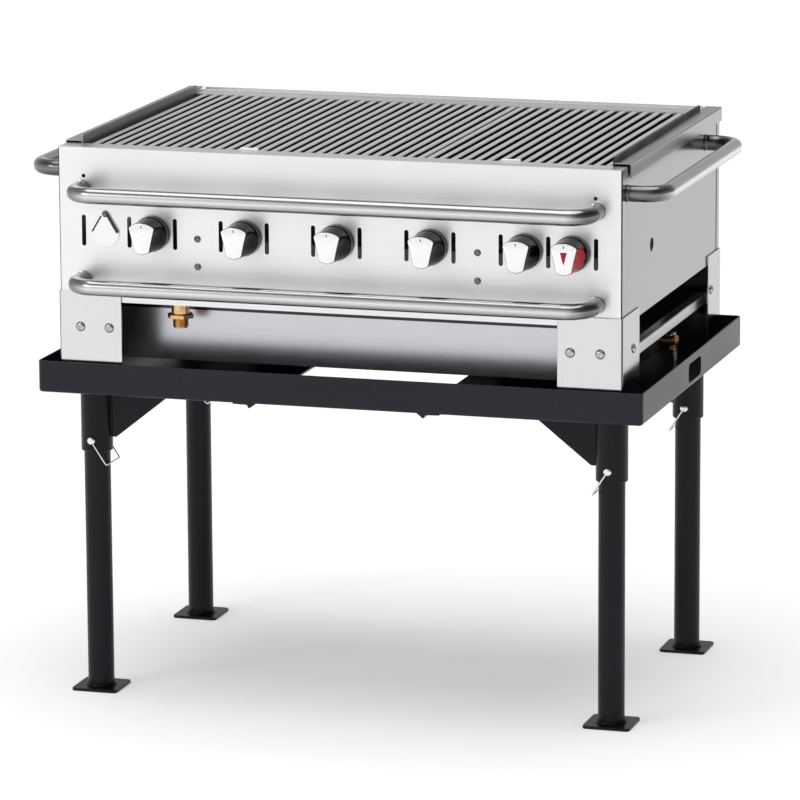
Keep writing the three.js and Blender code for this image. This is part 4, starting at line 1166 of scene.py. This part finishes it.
def make_pin(name, sx):
    """Lock pin with a ball-like head, and the wire bail that runs from its head to its tail."""
    node, bail = "lock_pin_" + name, "wire_bail_" + name
    low, high = box_mm(node)
    x, z = centre_mm(node).xz
    pin = turned(profile_from_ends(low.y, PIN_HEAD, high.y, PIN_TAIL), "Y", (x, z), SMALL_SIDES)
    add_piece(node + "_pin", [pin], ZINC, stands_for=[node])
    bail_front, bail_back = low.y + PIN_HEAD_MIDDLE, box_mm(bail)[1].y - WIRE_RADIUS

    def down(distance, y):
        return (x - sx * distance * math.cos(BAIL_SLOPE), y, z - distance * math.sin(BAIL_SLOPE))

    route = [down(BAIL_END, bail_front), down(BAIL_DROP, bail_front), down(BAIL_DROP, bail_back),
             down(-BAIL_END, bail_back)]
    wire = swept(bent_path(route, BAIL_BEND, 6), WIRE_RADIUS)
    add_piece(bail + "_wire", [wire], ZINC, "bail_" + name, [bail])


def make_stand():
    make_tray()
    for name, sx, _ in CORNERS:
        make_leg(name)
        make_socket(name, sx)
        make_pin(name, sx)


# ---- Gas inlet and drain ----


def make_inlet():
    """A union: nut, threaded nipple below it, and a neck that goes up into a sleeve round the pipe."""
    low, high = box_mm("gas_inlet")
    centre = centre_mm("gas_inlet").xy
    nut = prism(circle(NUT_RADIUS, 6, *centre), NUT_BOTTOM, NUT_TOP, "Z")
    add_piece("gas_inlet_nut", [nut], BRASS, edge=0.9)
    bore, radius = SLEEVE_RADII
    bottom, top = NUT_TOP + SLEEVE_GAP, PANEL_LOW.z + SLEEVE_RISE
    wall = rod_profile(radius, bottom, top, bore, WIDE_CHAMFER, WIDE_CHAMFER)
    add_piece("gas_inlet_sleeve", [turned(wall, "Z", centre, LARGE_SIDES, closed=True)], BRASS)
    neck = rod_profile(NECK_RADIUS, NUT_TOP - NECK_OVERLAP, high.z, top=FINE_CHAMFER)
    shapes = [turned(profile, "Z", centre, LARGE_SIDES) for profile in (neck, nipple_profile(low.z))]
    add_piece("gas_inlet_nipple", shapes, BRASS, stands_for=["gas_inlet"])


def nipple_profile(end):
    """The threaded nipple, from under the nut down to its bored end."""
    profile = [(radius, NUT_BOTTOM + rise) for radius, rise in NIPPLE_NECK]
    level = profile[-1][1]
    while level - THREAD_PITCH > end + THREAD_END_GAP:
        profile += [(radius, level - THREAD_PITCH * share) for radius, share in THREAD]
        level -= THREAD_PITCH
    return profile + [(radius, end + rise) for radius, rise in NIPPLE_END]


def make_drain():
    """The drain valve's body and spout, its lever and its chain."""
    low, high = box_mm("drain_valve")
    y, z = centre_mm("drain_valve").y, high.z - DRAIN_AXIS_DROP
    body = turned(profile_from_ends(low.x, DRAIN_INNER, high.x, DRAIN_OUTER), "X", (y, z), MIDDLE_SIDES)
    pivot = (DRAIN_SPOUT_X, y)
    spout = turned(profile_from_ends(low.z, SPOUT_MOUTH, z, SPOUT_TOP), "Z", pivot)
    add_piece("drain_valve_body", [body, spout], DULL_BRASS, stands_for=["drain_valve"])
    lever_low, lever_high = box_mm("drain_lever")
    profile = rod_profile(BOSS_RADIUS, lever_low.z, lever_high.z, top=CHAMFER)
    boss = turned(profile, "Z", pivot, SMALL_SIDES)
    arm_y = lever_low.y + ARM_HALF[1]
    outline = rounded_rectangle(*ARM_HALF, ARM_CORNER, DRAIN_SPOUT_X, arm_y, 6)
    arm = prism(outline, *(lever_high.z - depth for depth in ARM_DEPTHS), "Z")
    add_piece("drain_lever_arm", [boss, arm], DULL_BRASS, "lever", ["drain_lever"], edge=0.3)
    make_chain(Vector((DRAIN_SPOUT_X, y, low.z)) + Vector(CHAIN_START))


def chain_link(centre, along, turn):
    """One stadium-shaped link, turned about the chain's own line."""
    along = along.normalized()
    across = Matrix.Rotation(turn, 3, along) @ along.orthogonal().normalized()
    half_length, half_width = LINK_HALF
    loop = []
    for angle in (math.tau * k / LINK_STEPS for k in range(LINK_STEPS)):
        ahead, aside = math.cos(angle), math.sin(angle)
        straight = math.copysign(half_length - half_width, ahead) if abs(ahead) > 1e-6 else 0
        loop.append(centre + along * (straight + half_width * ahead) + across * half_width * aside)
    return swept(loop, CHAIN_WIRE, 6, closed=True)


def make_chain(start):
    """A short chain that hangs from the drain valve in a narrow loop."""
    depth = start.z - CHAIN_BOTTOM_Z
    route = []
    for t in (k / CHAIN_STEPS for k in range(CHAIN_STEPS + 1)):
        sway, sag = CHAIN_SWAY * math.sin(math.tau * t), depth * math.sin(math.pi * t) ** CHAIN_SAG
        route.append(start + Vector((sway, CHAIN_SPREAD * t, -sag)))
    links = []
    travelled = 0.0
    for a, b in zip(route, route[1:]):
        step = (b - a).length
        while travelled <= step:
            links.append(chain_link(a.lerp(b, travelled / step), b - a, len(links) % 2 * math.pi / 2))
            travelled += CHAIN_PITCH
        travelled -= step
    add_piece("drain_cap_chain", links, CHAIN_STEEL)


# ---- Inside the body ----


def make_inside():
    mirror = steel("steel_baffle", 0.58, 0.24, (5, 300, 300), tint=(0.98, 0.98, 1.05), streak=0)
    # The tub's steel is near-black: painted shade for the dark inside of the body seen through the slots.
    shaded_tub_steel = steel("steel_tub", 0.1, 0.2, (5, 5, 300))
    add_refined("front_baffle", mirror)
    low, high = box_mm("front_baffle")
    # A near-black strip across the baffle just below the panel's bottom edge: painted shade.
    outer, inner = (low.y - proud for proud in SHADE_STRIP_PROUD)
    strip = block((low.x + SHADE_STRIP_INSET, outer, SHADE_STRIP_Z[0]),
                  (high.x - SHADE_STRIP_INSET, inner, SHADE_STRIP_Z[1]))
    add_piece("front_baffle_shade_strip", [strip], NEAR_BLACK_SHADE_STEEL, edge=0.3)
    add_refined("water_tub", shaded_tub_steel)
    for side, _ in SIDES:
        add_refined("tub_runner_" + side, RUNNER_STEEL)
    add_refined("radiant_rack", IRON, edge=0.5)
    add_refined("gas_manifold", IRON, edge=0.8)
    for number in BURNERS:
        make_burner(f"burner_{number}")
        make_stem(f"valve_stem_{number}", f"stem_{number}")
    make_stem("main_valve_stem", "main_stem")


def make_burner(node):
    low, high = box_mm(node)
    profile = profile_from_ends(low.y, BURNER_MOUTH, high.y, BURNER_END)
    tube = turned(profile, "Y", centre_mm(node).xz, MIDDLE_SIDES, closed=True)
    add_piece(node + "_tube", [tube], IRON, stands_for=[node])


def make_stem(node, body):
    low, high = box_mm(node)
    profile = rod_profile((high.z - low.z) / 2, low.y, high.y, 0, FINE_CHAMFER, FINE_CHAMFER)
    rod = turned(profile, "Y", centre_mm(node).xz, SMALL_SIDES)
    add_piece(node + "_rod", [rod], ZINC, body, [node])


# ---- Assembly ----

# Near-black paint for the seam strips: painted shade and dark reflection at the corners.
SEAM_SHADE_BLACK = powder_coat("seam_painted_shade", 0.004, 0.02)
# The right guard is a near-black copy of the left one: painted shade on its outer face.
GUARD_STEEL = {"left": smoked_steel("guard_left", 0.45), "right": smoked_steel("guard_right_shaded", 0.05)}
# Near-black steel for painted shade: the screw rings, the flap's flanges and the strip on the baffle.
NEAR_BLACK_SHADE_STEEL = steel("steel_near_black_shade", 0.045, 0.2, (300, 300, 300), streak=0)
# Near-black steel on upright rounded edges: a painted dark reflection along the folds.
DARK_EDGE_REFLECTION_STEEL = steel("steel_edge_dark_reflection", 0.09, 0.2, (300, 300, 300), streak=0)
BOLT_STEEL = steel("steel_bolt", 0.5, 0.08, (300, 300, 300), streak=0)
SCREW_STEEL = steel("steel_screw", 0.2, 0.08, (300, 300, 300), streak=0)
RUNNER_STEEL = steel("steel_runner", 0.86, 0.5, (300, 8, 300), streak=0)
POWDER = powder_coat("powder_coat", 0.011, 0.27)
# A darker copy of the powder coat for the legs, sockets and gussets: painted shade.
POWDER_LEGS_SHADED = powder_coat("powder_coat_legs_shaded", 0.005, 0.2)
KNOB_BLACK = gloss_plastic("knob_black", (0.002, 0.002, 0.002, 1), (0.004, 0.004, 0.004, 1))
KNOB_RED = gloss_plastic("knob_red", (0.4, 0.006, 0.008, 1), (0.5, 0.009, 0.011, 1))
MARK_PAINT = gloss_plastic("mark_paint", (0.02, 0.02, 0.022, 1), (0.04, 0.04, 0.042, 1))
KNOB_CHROME = chrome("knob_chrome", 0.86, 0.12)
ZINC = chrome("zinc", 0.82, 0.22)
CHAIN_STEEL = chrome("chain_steel", 0.5, 0.4)
BRASS = brass("brass", (0.82, 0.55, 0.28, 1), (0.66, 0.4, 0.18, 1))
DULL_BRASS = brass("dull_brass", (0.6, 0.33, 0.17, 1), (0.42, 0.2, 0.1, 1))
IRON = dark_iron()

make_camera()
make_studio()
make_casing()
make_brackets()
make_handles()
make_grates()
make_knobs()
make_flap()
make_stand()
make_inlet()
make_drain()
make_inside()
